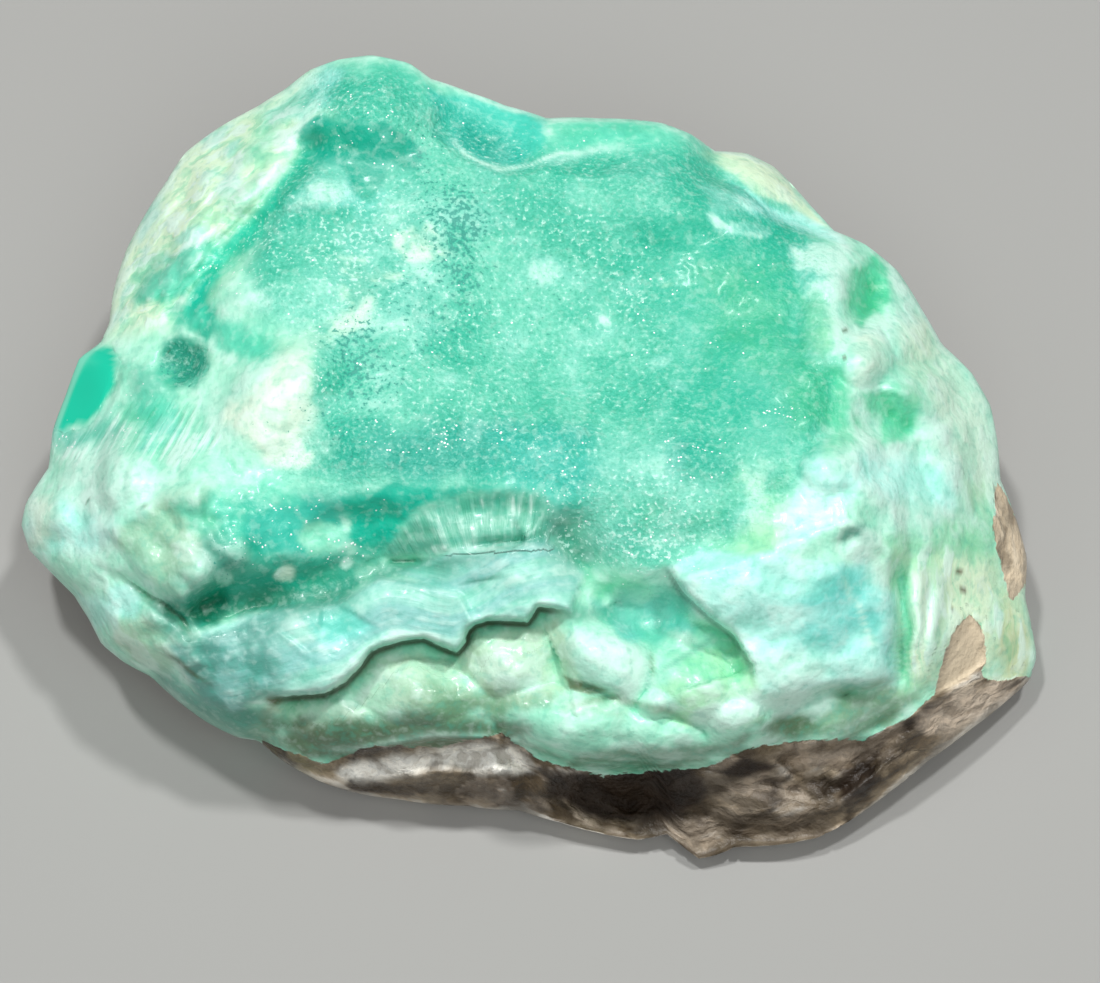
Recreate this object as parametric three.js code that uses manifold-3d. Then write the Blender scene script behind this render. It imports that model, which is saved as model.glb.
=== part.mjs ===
// A smithsonite specimen: a blue-green crust, lumpy and ledged, grown over a broken piece of
// pale brown matrix rock. It is one piece of stone, so it is one solid.
//
// The display side is laid out on sight lines. A sight line is named by where it crosses the
// display plane: millimetres across (to the right) and up, from the plane's middle. The plane is
// square to the direction in which the specimen is shown, SIGHT_ELEVATION above the table, and
// every sight line starts SIGHT_DISTANCE in front of it. Heights are above the table.
import * as THREE from "three";
import { mergeVertices } from "three/addons/utils/BufferGeometryUtils.js";
import Module from "manifold-3d";

// ---- Driving dimensions, in millimetres and degrees ----
const SIGHT_ELEVATION = 63;
const SIGHT_DISTANCE = 305.6;
const MIDDLE_HEIGHT = 18; // the display plane's middle, above the table
const CENTRE = [-2, 2]; // the sight line that the rim goes round: across, up
const MESH_DETAIL = 21;
const FRONT_SHARE = 0.74; // of the mesh's triangles, on the display side
const RIM_POWER = 12; // how late the display side turns over at the rim
const RIM_CALM = 40; // how near the rim the knobs die away
const HIDDEN_DEPTH = 33; // of the hidden side behind the rim, before the base is cut flat
const CORE = [-2, 5, 14]; // the place that the hidden side's roughness stands out from
const FRACTURE_SHARE = 0.92; // how nearly flat the broken faces are
const ROUGH_SIZES = [[15, 3.2], [6.5, 1.5]]; // sizes and heights of the hidden side's roughness
const FACE_BLEND = 5; // rounding between the broad faces
const PLATE_EDGE = 0.4; // half the width over which a plate ends
const END_TAPER = 3.5; // over which a ledge or groove dies out at its ends
const WANDER = [[7, 0.9], [2.3, 0.35]]; // sizes and reaches of the wobble in edges and lumps
const SURFACE_WAVES = [6, 0.5]; // size and height of the swell over the whole display side
const KNOB_SIZE = 5.5;
const CRYSTAL_SIZE = 2.6;
const TABLE_SPAN = 300;

// The rim, the widest outline along the sight lines, anticlockwise from the right: across, up,
// height.
const RIM = [
    [45.4, 1.2, 12], [45.1, 5.2, 13.5], [44.4, 8.7, 15], [42.5, 12, 17], [39.5, 14.9, 18],
    [37.5, 18.4, 20], [35, 22.4, 22], [31.8, 25, 24], [28.6, 26.4, 25], [26.5, 28.7, 22],
    [24.5, 31, 21], [22.5, 33, 21], [19.8, 34.3, 22], [16.6, 34.5, 24], [14.2, 36.2, 28],
    [11.4, 37.3, 29], [5, 37.8, 28], [-0.3, 37.8, 28], [-4.5, 39.1, 29], [-8, 40.4, 30],
    [-12, 41.8, 31], [-14.2, 43.4, 32], [-18, 44.2, 32], [-21.5, 43.7, 31], [-24.2, 42.7, 29],
    [-26.6, 40.8, 27], [-29.5, 39, 25], [-33.5, 36.8, 23], [-36.7, 34.4, 21], [-38.8, 31.2, 20],
    [-41, 27.7, 19], [-42.8, 24.2, 18], [-44, 20.2, 18], [-44.4, 17, 19], [-45.3, 15, 20],
    [-47.4, 13.5, 20], [-48.8, 9.7, 18], [-50.1, 6.2, 17], [-50.5, 2.4, 16], [-52.8, -1.2, 15],
    [-53.3, -3.4, 14], [-52.5, -6, 13], [-50.2, -8.4, 12], [-48, -10.6, 11], [-46.5, -13, 10],
    [-45.2, -15.6, 9.5], [-43, -17.4, 9], [-40.2, -18.9, 9], [-37.5, -21.4, 9], [-34.5, -23.6, 8.5],
    [-31.5, -25.1, 8], [-29.4, -25.4, 7.5], [-27, -27.4, 6.5], [-23.5, -29.4, 5], [-20, -30.6, 4],
    [-15, -31.4, 3], [-8.5, -32, 3], [-3, -32.5, 3], [1, -33.7, 3], [5, -34.8, 2.5],
    [9, -35.5, 2.5], [11.8, -34.9, 2.5], [13.2, -36, 2.5], [15, -37.4, 2], [16.6, -37.1, 2],
    [18.8, -36.2, 2.5], [24, -35.9, 3], [27.2, -35.2, 3], [30.2, -33.6, 3.5], [34.3, -30.6, 4],
    [38.2, -27.4, 4.5], [42.2, -24.4, 4.5], [46, -21.4, 4], [48.4, -19.2, 3.5], [49.1, -16.8, 4.5],
    [48.6, -13.8, 6], [47.9, -10.8, 7], [48.1, -6.8, 8.5], [47, -2.8, 10.5],
];

// The broad faces: a point (across, up, height) and the rise per millimetre across and up.
const FACES = [
    [[5, 15, 31], [0, 0.03]],
    [[0, -1, 30.5], [0, 0.62]],
    [[3, -27, 13.5], [0, 1.6]],
    [[-27, 8, 31], [0.5, 0.12]],
    [[-26, 39, 31], [1.0, -0.6]],
    [[31, 5, 28], [-0.85, 0]],
    [[30, 22, 28], [-0.55, -0.4]],
    [[34, -8, 22.5], [-0.65, 0.6]],
];

// Plates and crystal faces, nearly flat: a point on each, its slope, how flat, and its outline.
const PLATES = [
    [[-17, -13.5, 23.3], [0.02, 0.5], 0.92, [
        [-37, -15.5], [-34.5, -14.6], [-31, -13.4], [-26.2, -12], [-22.9, -12], [-21.2, -11.3],
        [-17.3, -8.9], [-12.5, -9.6], [-9.1, -10.6], [-8.1, -13], [-9.6, -16.2], [-12.7, -15.1],
        [-16.8, -15.9], [-19.2, -17.8], [-22.8, -20.5], [-28.9, -20.9], [-32, -22.4], [-34.5, -21.4],
        [-38.5, -16]]],
    [[-4, -9, 26.0], [0.03, 0.46], 0.85, [
        [-15, -8.4], [-12, -7.2], [-9.1, -5.7], [-0.4, -5], [3.5, -8.4], [2.1, -12.4], [-1.3, -12],
        [-2.5, -13.5], [-6.4, -13], [-8.3, -14], [-9.1, -10.6], [-12.5, -9.6]]],
    [[24, -12, 25.6], [-0.22, 0.65], 0.45, [
        [13, -9.4], [19.5, -6.8], [25, -4.8], [31, -2.8], [34.4, -6], [34.8, -14], [34.9, -19],
        [31, -19.9], [25, -20], [21.2, -20.8], [18.4, -14.7], [14.6, -13.6]]],
    [[-47, 10, 20.6], [0.62, 0.06], 0.9, [
        [-50, 6.2], [-47.4, 13.2], [-45, 14.6], [-43.6, 13.8], [-43.6, 11], [-45, 7.5], [-47.5, 5.6]]],
    [[-43, 2, 26.3], [0.45, 0], 0.85, [
        [-44.6, -0.6], [-45, 2], [-43.6, 4.6], [-41.8, 5], [-41, 3], [-41.4, 0.4], [-42.6, -1.4]]],
    [[-38, -5.5, 26.5], [0.28, 0.36], 0.85, [
        [-42, -2.6], [-38, -1], [-33.6, -2.4], [-33, -6], [-35.5, -9], [-37.4, -10.8], [-40, -9],
        [-42.6, -6.4]]],
    [[-42.6, -11.4, 21.9], [0.35, 0.25], 0.9, [
        [-44.7, -9.9], [-41.4, -9.4], [-40.6, -12], [-42.6, -13.4], [-44.6, -12.2]]],
    [[-41.3, -14, 21.4], [0.2, 0.7], 0.9, [
        [-43.4, -13.3], [-40.4, -12.6], [-39.2, -14.2], [-41, -15.4], [-43, -14.8]]],
    [[-37.7, -16, 21.7], [0.3, 0.2], 0.9, [
        [-40.2, -14.2], [-38, -13.8], [-35, -17.4], [-36.6, -18.4], [-39, -16.4]]],
    [[41.6, -17, 12.2], [-0.7, 0.6], 0.8, [
        [42.4, -12.7], [44.1, -17.2], [42.4, -19.4], [38.8, -20.6], [40.2, -16.1]]],
    [[-12.5, -28, 11.3], [0, 0.8], 0.7, [[-21, -26.4], [-4, -26], [-2.6, -28.4], [-9, -29.6], [-20, -29]]],
    [[21, -31.5, 6.6], [-0.1, 1.2], 0.7, [
        [16, -29], [24, -28], [29.6, -29.4], [27, -33.4], [21, -34.6], [16.4, -33.4]]],
];

// The faces that the hidden side broke to: which way each one faces and how far out it lies.
const FRACTURES = [
    [[0.1, 1, 0.15], 41.5], [[0.62, 0.75, 0.1], 42], [[-0.66, 0.72, 0.05], 52], [[-0.97, 0.3, -0.3], 46],
    [[-0.3, -0.75, -0.59], 18], [[0.9, 0.3, -0.4], 40], [[0.5, -0.6, -0.6], 30],
];

// Swells and hollows: across, up, half length, half width, turn in degrees, rise.
const SWELLS = [
    [5, 16, 25, 15, 0, -2.8], [-18.5, 39, 9, 8, 0, 4], [-20, 34.8, 6.5, 3.6, 0, -1.4],
    [-27.5, 9.6, 10, 6, 50, 2.6], [-28, 20, 9, 6, 20, 1.5], [-25.5, 29.5, 7, 4, 10, 1.2],
    [-42, -1, 11, 9, 0, 2.5], [-39, -8, 7, 6, 0, 1.6], [22, 32, 6.5, 4.5, -40, 3],
    [25, -9, 10, 9, 0, 2], [31, -2, 8, 8, 0, 1.6], [34, 14, 9, 10, 0, 1.5],
    [37.5, -14, 3, 9, 0, 1.6], [-18.5, -3.4, 4.5, 3.6, 0, -1.2], [6.5, -31, 9, 4, 0, -1.6],
    [-11, -28.3, 8, 2.4, -8, 1.6], [15, -35, 3, 3, 0, 1.2], [-26, -4.5, 8, 4, 20, -0.8],
    [41, -16, 6, 6, 0, 1.2], [12, 29, 12, 5, 0, 0.8],
];

// Lumps with a crease round each, of which the highest shows.
const LUMPS = [
    [-42.5, 2.4, 4.8, 3.2, 70, 1.8], [-51, -2.3, 4, 3.5, 0, 1.4], [-37, -6.5, 6, 5, 20, 1.6],
    [-36, 0.4, 5.5, 4, -30, 1.2], [-44, -12.5, 4.4, 3, -50, 1.4], [-39.5, -15.5, 3.8, 3, -40, 1.2],
    [-46, -6.5, 4.5, 3.5, 30, 1.2], [-33.5, -5.5, 3.6, 3, 0, 1],
    [28.6, 22.4, 4.6, 3.4, 70, 1.2], [28, 16, 2.8, 5, 12, 1.2], [36.8, 15.4, 3.6, 3, 0, 1.2],
    [32, 13.4, 3, 2.4, 40, 0.9], [37.2, 9.8, 4, 3.4, -30, 1.3], [40.4, 3, 3, 6, 10, 1.1],
    [29.6, 2.8, 4.6, 3.2, 15, 1.4], [32.6, -2.4, 4, 5, 0, 1.2], [18.5, -10.4, 7.2, 4.6, -15, 2],
    [26.5, -13, 6.5, 6.5, 0, 1.4], [22.5, -19, 7, 4.4, 20, 1.8], [32, -15, 4, 5.5, 0, 1.2],
    [-4.6, -17, 5.2, 4.2, 0, 1.8], [-13, -20.4, 7, 3.4, 8, 1.3], [-21.5, -23.6, 6, 2.6, -8, 1.2],
    [5.6, -17.6, 5, 4.4, -30, 2.2], [1.6, -24, 8, 4.2, -10, 2.4], [10.5, -25.2, 6, 2.8, -8, 1.8],
    [14.8, -20.4, 5.4, 4.4, 0, 2.4], [19, -23.2, 4, 2.8, 0, 2], [11, -21.8, 2.6, 2, 30, 2.2],
];

// Scoops with a crisp edge, as lumps turned inward.
const SCOOPS = [
    [-5.5, 36.6, 7, 4.6, -22, 2.6], [4.5, 35.2, 8.5, 3.4, 0, 1.6], [-36.8, 12.9, 3.2, 2.8, 0, 2],
    [-46.8, 10.2, 3.6, 5.4, -24, 2], [31.8, 19.6, 2.6, 3.4, 10, 1], [34, 8.6, 4.4, 3, -10, 1.3],
    [30.3, -5, 1.5, 1, 30, 1], [7.5, -30.2, 8.5, 2.6, 4, 1.2],
];

// Ledges: drop, softness, reach of the hollow below, and the edge line, high side on its left.
const LEDGES = [
    [2.2, 0.25, 7, [
        [-29.5, -20.7], [-28.9, -20.9], [-27.2, -20.8], [-22.8, -20.5], [-21, -19.4], [-19.2, -17.8],
        [-18, -16.5], [-16.8, -15.9], [-15, -15.4], [-12.7, -15.1], [-11, -15.8], [-9.6, -16.2],
        [-8.7, -15.1], [-8.3, -14], [-7.6, -13.4], [-6.4, -13], [-4.5, -13.1], [-2.5, -13.5],
        [-1.9, -12.8], [-1.3, -12], [0, -12.2], [2.6, -12.2]]],
    [1.1, 0.3, 3.5, [
        [-7.6, -14], [-8.1, -12.6], [-9.1, -10.6], [-12.5, -9.6], [-17.3, -8.9], [-19.5, -10.4],
        [-21.4, -11.4], [-26.2, -12], [-31, -12.6], [-36, -14]]],
    [0.6, 0.25, 4, [[-23.6, -16.6], [-22.9, -12], [-21.2, -11.6], [-18, -13.6], [-17.4, -15.4]]],
    [0.7, 0.25, 3, [[-24, -19.4], [-24.6, -16.2], [-27.6, -14.2], [-30.4, -15.6], [-31.5, -19]]],
    [1.3, 1.4, 5, [
        [-27, -5.6], [-21, -2.6], [-15, -2], [-10, -1.2], [-4, -0.9], [-0.5, -2], [0.6, -3.6]]],
    [1.8, 0.6, 8, [[29.4, 25.2], [24, 27], [19, 30], [14.6, 32.8]]],
    [2.2, 0.5, 5, [
        [-4.4, -22.4], [-2, -25.4], [2.5, -27.4], [9, -28], [15, -27.7], [23, -26.2], [29, -25.4],
        [36, -21.4]]],
    [1.4, 0.7, 6, [[21.2, -20.6], [25, -21.4], [30, -19.9], [35.5, -19.6]]],
    [1.6, 0.4, 6, [[-24, -26.6], [-18, -26.4], [-12, -25.2], [-5, -25.4]]],
    [1.8, 0.25, 6, [
        [11.4, -7], [12.1, -8], [13.7, -11], [16.5, -13.6], [18.4, -14.7], [20.8, -17.9],
        [21.1, -20.4]]],
    [0.8, 0.25, 4, [[-44, -8], [-40, -11], [-37, -12.6], [-35.5, -15.6]]],
];

// Grooves: depth, width and line.
const GROOVES = [
    [1.5, 1.7, [[-23, 37], [-27, 31.5], [-31, 26], [-34, 21.8], [-36.5, 17.4]]],
    [0.8, 1.4, [[-31, 27], [-26, 27.8], [-21, 28.4]]],
    [2.2, 2.6, [[-38, -12], [-31, -11.4], [-25, -9.8], [-17, -7.2], [-10, -6.4]]],
    [2.6, 2.8, [[0.6, -1.5], [2.2, -5], [4, -8.5], [6, -11.2], [10, -13], [14, -15]]],
    [0.9, 0.6, [[-17, -7.4], [-12, -7]]],
    [0.9, 0.6, [[-9.2, -5.8], [-5, -5.4], [-0.6, -5]]],
    [1.6, 1.2, [[-44, -8], [-40, -11], [-37, -12.6], [-33.5, -10.5], [-31.5, -8]]],
    [1.6, 1.1, [[35, -6], [35.3, -11.5], [35.7, -14.4], [34.9, -18.5], [35.3, -21]]],
    [1.2, 0.6, [[2.2, -19.2], [5.7, -20.9], [8, -20.6]]],
    [1.4, 1.4, [[-4.5, -24.7], [-2.4, -27.4], [-0.6, -30]]],
    [1.2, 0.5, [[20, -28.4], [24, -30], [27.6, -31.8]]],
    [0.8, 0.5, [[27, -29.4], [32, -26.8], [38, -22.8]]],
    [1.0, 0.5, [[37.5, -7], [38.4, -10], [37.6, -15], [36.8, -20]]],
];

// Where the crust is knobbly: across, up, half length, half width, turn, and how much.
const KNOBBLY = [
    [-42, -4, 14, 13, 0, 1], [-33, 24, 9, 12, -40, 0.5], [33, 8, 12, 20, 10, 0.8],
    [27, -12, 13, 11, 0, 0.5], [6, -22, 20, 8, 0, 0.7], [-18, 39, 9, 7, 0, 0.3],
    [-14, -24, 16, 5, 0, 0.5], [-28, 8, 8, 10, 0, 0.4],
];



// ---- Small maths ----
const radians = THREE.MathUtils.degToRad;
const clamp = THREE.MathUtils.clamp;
const lerp = THREE.MathUtils.lerp;
const smoothstep = THREE.MathUtils.smoothstep;
const RISE = Math.sin(radians(SIGHT_ELEVATION));
const LEAN = Math.cos(radians(SIGHT_ELEVATION));

function smoothMin(a, b, blend) {
  const near = Math.max(blend - Math.abs(a - b), 0) / blend;
  return Math.min(a, b) - near * near * blend * 0.25;
}

// A repeatable value from 0 to 1 for a whole-number place.
function hashed(x, y, z) {
  const mixed = Math.sin(x * 127.1 + y * 311.7 + z * 74.7) * 43758.5453;
  return mixed - Math.floor(mixed);
}

// Smooth noise from -1 to 1, with features one unit across.
function noise(x, y, z) {
  const [x0, y0, z0] = [Math.floor(x), Math.floor(y), Math.floor(z)];
  const ease = (t) => t * t * (3 - 2 * t);
  const [tx, ty, tz] = [ease(x - x0), ease(y - y0), ease(z - z0)];
  const edge = (dy, dz) => lerp(hashed(x0, y0 + dy, z0 + dz), hashed(x0 + 1, y0 + dy, z0 + dz), tx);
  return lerp(lerp(edge(0, 0), edge(1, 0), ty), lerp(edge(0, 1), edge(1, 1), ty), tz) * 2 - 1;
}

function roughness(x, y, z, size) {
  const fine = 2.1 / size;
  return noise(x / size, y / size, z / size) + 0.5 * noise(x * fine, y * fine, z * fine + 7);
}

// How close a place is to the nearest of a scatter of points, one in each cell of this size:
// 1 on a point and 0 a cell away. measure(dx, dy, dz) says how far a point is.
function closeness(x, y, z, size, measure) {
  const [sx, sy, sz] = [x / size, y / size, z / size];
  const steps = [-1, 0, 1];
  let nearest = 9;
  for (const dx of steps) {
    for (const dy of steps) {
      for (const dz of steps) {
        const [cx, cy, cz] = [Math.floor(sx) + dx, Math.floor(sy) + dy, Math.floor(sz) + dz];
        const px = cx + hashed(cx, cy, cz) - sx;
        const py = cy + hashed(cx, cy, cz + 31) - sy;
        const pz = cz + hashed(cx, cy, cz + 67) - sz;
        nearest = Math.min(nearest, measure(px, py, pz));
      }
    }
  }
  return Math.max(1 - nearest, 0);
}

// Rounded swellings packed side by side, from 0 in the creases to about 1 on top.
function lumpiness(x, y, z, size) {
  return closeness(x, y, z, size, (dx, dy, dz) => dx * dx + dy * dy + dz * dz);
}

// Blunt crystals side by side, all with their faces turned the same ways.
function facets(x, y, z, size) {
  return closeness(x, y, z, size, (dx, dy, dz) => Math.max(
    Math.abs(0.86 * dx + 0.5 * dy),
    Math.abs(-0.4 * dx + 0.7 * dy + 0.6 * dz),
    Math.abs(0.3 * dx - 0.5 * dy + 0.8 * dz),
  ));
}

// How far a place lies from a line of points, on which side (left is +1), and a taper that falls
// to 0 at the line's two ends.
function lineDistance(line, u, v) {
  let best = { distance: Infinity, side: 1, along: 0 };
  let travelled = 0;
  for (let i = 0; i + 1 < line.length; i++) {
    const [[x0, y0], [x1, y1]] = [line[i], line[i + 1]];
    const [dx, dy] = [x1 - x0, y1 - y0];
    const length = Math.hypot(dx, dy);
    const t = clamp(((u - x0) * dx + (v - y0) * dy) / length ** 2, 0, 1);
    const distance = Math.hypot(u - x0 - t * dx, v - y0 - t * dy);
    if (distance < best.distance) {
      const side = dx * (v - y0) - dy * (u - x0) < 0 ? -1 : 1;
      best = { distance, side, along: travelled + t * length };
    }
    travelled += length;
  }
  const end = Math.min(END_TAPER, travelled / 3);
  const taper = smoothstep(best.along, 0, end) * smoothstep(travelled - best.along, 0, end);
  return { distance: best.distance, side: best.side, taper };
}

// 1 inside a closed outline and 0 outside, passing smoothly over soft millimetres each way.
function inRegion(outline, u, v, soft) {
  let inside = false;
  outline.forEach(([x0, y0], i) => {
    const [x1, y1] = outline[(i + 1) % outline.length];
    if ((y0 > v) !== (y1 > v) && u < ((x1 - x0) * (v - y0)) / (y1 - y0) + x0) inside = !inside;
  });
  const { distance } = lineDistance([...outline, outline[0]], u, v);
  return smoothstep(inside ? distance : -distance, -soft, soft);
}

function ellipseDistance([across, up, long, wide, turn], u, v) {
  const [c, s] = [Math.cos(radians(turn)), Math.sin(radians(turn))];
  const [x, y] = [u - across, v - up];
  return Math.hypot((x * c + y * s) / long, (y * c - x * s) / wide);
}

// ---- The display side ----
const rimPolar = RIM.map(([u, v, height]) => ({
  angle: Math.atan2(v - CENTRE[1], u - CENTRE[0]),
  radius: Math.hypot(u - CENTRE[0], v - CENTRE[1]),
  height,
})).sort((a, b) => a.angle - b.angle);

function rimAt(angle) {
  const after = Math.max(rimPolar.findIndex((point) => point.angle >= angle), 0);
  const b = rimPolar[after];
  const a = rimPolar[after - 1] ?? rimPolar[rimPolar.length - 1];
  const turn = 2 * Math.PI;
  const t = ((angle - a.angle + turn) % turn) / ((b.angle - a.angle + turn) % turn);
  return { radius: lerp(a.radius, b.radius, t), height: lerp(a.height, b.height, t) };
}

function planeHeight([[across, up, level], [slopeU, slopeV]], u, v) {
  return level + slopeU * (u - across) + slopeV * (v - up);
}

// Sight lines moved about a little, so that no edge or lump is a neat figure.
function wandered(u, v) {
  const [[wide, far], [narrow, near]] = WANDER;
  const wobble = (seed) => (
    far * noise(u / wide, v / wide, seed) + near * noise(u / narrow, v / narrow, seed + 8)
  );
  return [u + wobble(3.5), v + wobble(23.5)];
}

function broadHeight(u, v) {
  return FACES.map((face) => planeHeight(face, u, v)).reduce((a, b) => smoothMin(a, b, FACE_BLEND));
}

function swellRise(u, v) {
  let rise = 0;
  for (const swell of SWELLS) {
    const q = ellipseDistance(swell, u, v);
    rise += swell[5] * Math.max(1 - q * q, 0) ** 2;
  }
  return rise;
}

// The highest of a set of overlapping lumps, with creases between them.
function lumpRise(lumps, u, v) {
  return lumps.reduce((most, lump) => {
    const q = ellipseDistance(lump, u, v);
    return Math.max(most, lump[5] * (1 - q * q));
  }, 0);
}

function ledgeDrop(u, v) {
  let total = 0;
  for (const [drop, soft, reach, line] of LEDGES) {
    const { distance, side, taper } = lineDistance(line, u, v);
    const below = smoothstep(-side * distance, -soft, soft);
    total += drop * below * taper * Math.exp(-((distance / reach) ** 2));
  }
  return total;
}

function grooveDepth(u, v) {
  let total = 0;
  for (const [deep, wide, line] of GROOVES) {
    const { distance, taper } = lineDistance(line, u, v);
    total += deep * taper * Math.exp(-((distance / wide) ** 2));
  }
  return total;
}

function displayHeight(u, v) {
  const broad = broadHeight(u, v);
  const [wu, wv] = wandered(u, v);
  let height = broad + swellRise(wu, wv) + lumpRise(LUMPS, wu, wv) - lumpRise(SCOOPS, wu, wv);
  for (const [point, slope, flatness, outline] of PLATES) {
    const plane = planeHeight([point, slope], wu, wv);
    height = lerp(height, plane, flatness * inRegion(outline, wu, wv, PLATE_EDGE));
  }
  return height - ledgeDrop(wu, wv) - grooveDepth(wu, wv);
}

// Knobs and blunt crystals that stand on the crust.
function knobRelief(u, v) {
  let share = 0;
  for (const area of KNOBBLY) {
    share = Math.max(share, area[5] * smoothstep(-ellipseDistance(area, u, v), -1, -0.6));
  }
  const knobs = 0.9 * lumpiness(u, v, 4.5, KNOB_SIZE) + 0.5 * facets(u, v, 4.5, CRYSTAL_SIZE);
  return (knobs - 0.6) * (0.15 + share);
}

// Depth along the sight line, towards the viewer, of a point at this height.
function depthOf(height, v) {
  return (height - MIDDLE_HEIGHT - v * LEAN) / (RISE - (v * LEAN) / SIGHT_DISTANCE);
}

// The place in the part's frame of a point on sight line (u, v) at this depth.
function place(u, v, depth) {
  const shrink = 1 - depth / SIGHT_DISTANCE;
  const [across, up] = [u * shrink, v * shrink];
  return [across, up * RISE - depth * LEAN, MIDDLE_HEIGHT + up * LEAN + depth * RISE];
}

// The hidden side broken to rough faces, and left as it is at the rim, where s is 1.
function broken(placed, s) {
  const point = new THREE.Vector3(...placed);
  const inward = 1 - s ** 10;
  for (const [facing, reach] of FRACTURES) {
    const normal = new THREE.Vector3(...facing).normalize();
    const excess = Math.max(point.dot(normal) - reach, 0);
    point.addScaledVector(normal, -FRACTURE_SHARE * excess * inward);
  }
  const away = point.clone().sub(new THREE.Vector3(...CORE)).normalize();
  const { x, y, z } = point;
  for (const [size, rise] of ROUGH_SIZES) {
    point.addScaledVector(away, inward * rise * (facets(x, y, z, size) - 0.5));
  }
  return point.toArray();
}

// ---- The solid ----
// A direction of a ball becomes a point of the stone: the ball's front is the display side.
function stonePoint(direction) {
  const share = (1 - direction.z) / 2;
  const front = share < FRONT_SHARE;
  const part = front ? share / FRONT_SHARE : (1 - share) / (1 - FRONT_SHARE);
  const s = clamp(Math.sqrt(Math.max(part, 0)), 0, 1);
  const angle = Math.atan2(direction.y, direction.x);
  const rim = rimAt(angle);
  const u = CENTRE[0] + s * rim.radius * Math.cos(angle);
  const v = CENTRE[1] + s * rim.radius * Math.sin(angle);
  const rimDepth = depthOf(rim.height, v);
  if (!front) {
    return broken(place(u, v, rimDepth - HIDDEN_DEPTH * Math.sqrt(Math.max(1 - s * s, 0))), s);
  }
  const [waveSize, waveHeight] = SURFACE_WAVES;
  const height = displayHeight(u, v) + waveHeight * roughness(u, v, 0, waveSize);
  const shown = lerp(rimDepth, depthOf(height, v), Math.sqrt(1 - s ** RIM_POWER));
  return place(u, v, shown + knobRelief(u, v) * (1 - s ** RIM_CALM));
}

const wasm = await Module();
wasm.setup();

function solidOf(geometry) {
  const bare = geometry.clone();
  bare.deleteAttribute("normal");
  bare.deleteAttribute("uv");
  const merged = mergeVertices(bare, 1e-5);
  return new wasm.Manifold(new wasm.Mesh({
    numProp: 3,
    vertProperties: new Float32Array(merged.attributes.position.array),
    triVerts: new Uint32Array(merged.index.array),
  }));
}

function geometryOf(solid) {
  const { vertProperties, triVerts } = solid.getMesh();
  return new THREE.BufferGeometry()
    .setAttribute("position", new THREE.BufferAttribute(vertProperties, 3))
    .setIndex(new THREE.BufferAttribute(triVerts, 1));
}

// A fine ball whose every vertex is moved to the stone's surface.
function roughGeometry() {
  const ball = new THREE.IcosahedronGeometry(1, MESH_DETAIL);
  const position = ball.attributes.position;
  const direction = new THREE.Vector3();
  for (let i = 0; i < position.count; i++) {
    direction.fromBufferAttribute(position, i).normalize();
    position.setXYZ(i, ...stonePoint(direction));
  }
  return ball;
}

// The rough stone with a flat base, which stands on z = 0 with its middle over the origin.
function stoneGeometry() {
  const below = new THREE.BoxGeometry(TABLE_SPAN, TABLE_SPAN, TABLE_SPAN);
  below.translate(0, 0, -TABLE_SPAN / 2);
  const cut = geometryOf(solidOf(roughGeometry()).subtract(solidOf(below)));
  cut.computeBoundingBox();
  const { min, max } = cut.boundingBox;
  return cut.translate(-(min.x + max.x) / 2, -(min.y + max.y) / 2, 0);
}

function smithsoniteMaterial() {
  return new THREE.MeshStandardMaterial({ color: 0x7fd6b8, roughness: 0.4, metalness: 0 });
}

const stone = new THREE.Mesh(stoneGeometry(), smithsoniteMaterial());
stone.name = "smithsonite_specimen";

const specimen = new THREE.Group();
specimen.name = "smithsonite";
specimen.add(stone);

export default specimen;
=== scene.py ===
"""A smithsonite specimen: a lumpy blue-green crust grown over a broken piece of pale brown rock.

The stone is one closed skin. Its display side is laid out on sight lines: how far across and up
each one crosses the display plane, in millimetres, with the height of the stone on it.
"""

import math

import bmesh
import bpy
import numpy as np
from mathutils import Matrix, Vector


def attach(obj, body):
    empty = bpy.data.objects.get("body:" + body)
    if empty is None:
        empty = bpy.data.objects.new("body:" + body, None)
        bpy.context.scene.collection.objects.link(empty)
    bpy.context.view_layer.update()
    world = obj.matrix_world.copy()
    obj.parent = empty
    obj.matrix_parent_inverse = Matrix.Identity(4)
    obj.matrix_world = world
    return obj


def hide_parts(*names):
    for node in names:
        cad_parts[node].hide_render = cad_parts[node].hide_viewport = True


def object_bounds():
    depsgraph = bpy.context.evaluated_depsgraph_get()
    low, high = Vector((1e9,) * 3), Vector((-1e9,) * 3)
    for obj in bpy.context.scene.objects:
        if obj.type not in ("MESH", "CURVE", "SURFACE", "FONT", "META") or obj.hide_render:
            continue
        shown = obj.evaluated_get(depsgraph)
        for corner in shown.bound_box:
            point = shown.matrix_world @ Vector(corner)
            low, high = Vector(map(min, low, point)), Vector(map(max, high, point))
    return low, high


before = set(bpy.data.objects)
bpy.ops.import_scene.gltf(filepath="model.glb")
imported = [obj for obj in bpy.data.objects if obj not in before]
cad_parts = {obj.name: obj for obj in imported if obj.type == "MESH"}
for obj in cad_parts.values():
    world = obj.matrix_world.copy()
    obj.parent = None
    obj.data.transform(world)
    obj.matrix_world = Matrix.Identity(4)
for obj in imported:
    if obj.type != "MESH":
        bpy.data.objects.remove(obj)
bounds_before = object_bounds()

MM = 0.001

# The sight lines: how steep they are, how far off they meet and how high the display plane's middle is.
SIGHT_ELEVATION = math.radians(63)
SIGHT_DISTANCE = 305.6
MIDDLE_HEIGHT = 18
LENS_MM, SENSOR_MM = 100, 36

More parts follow.
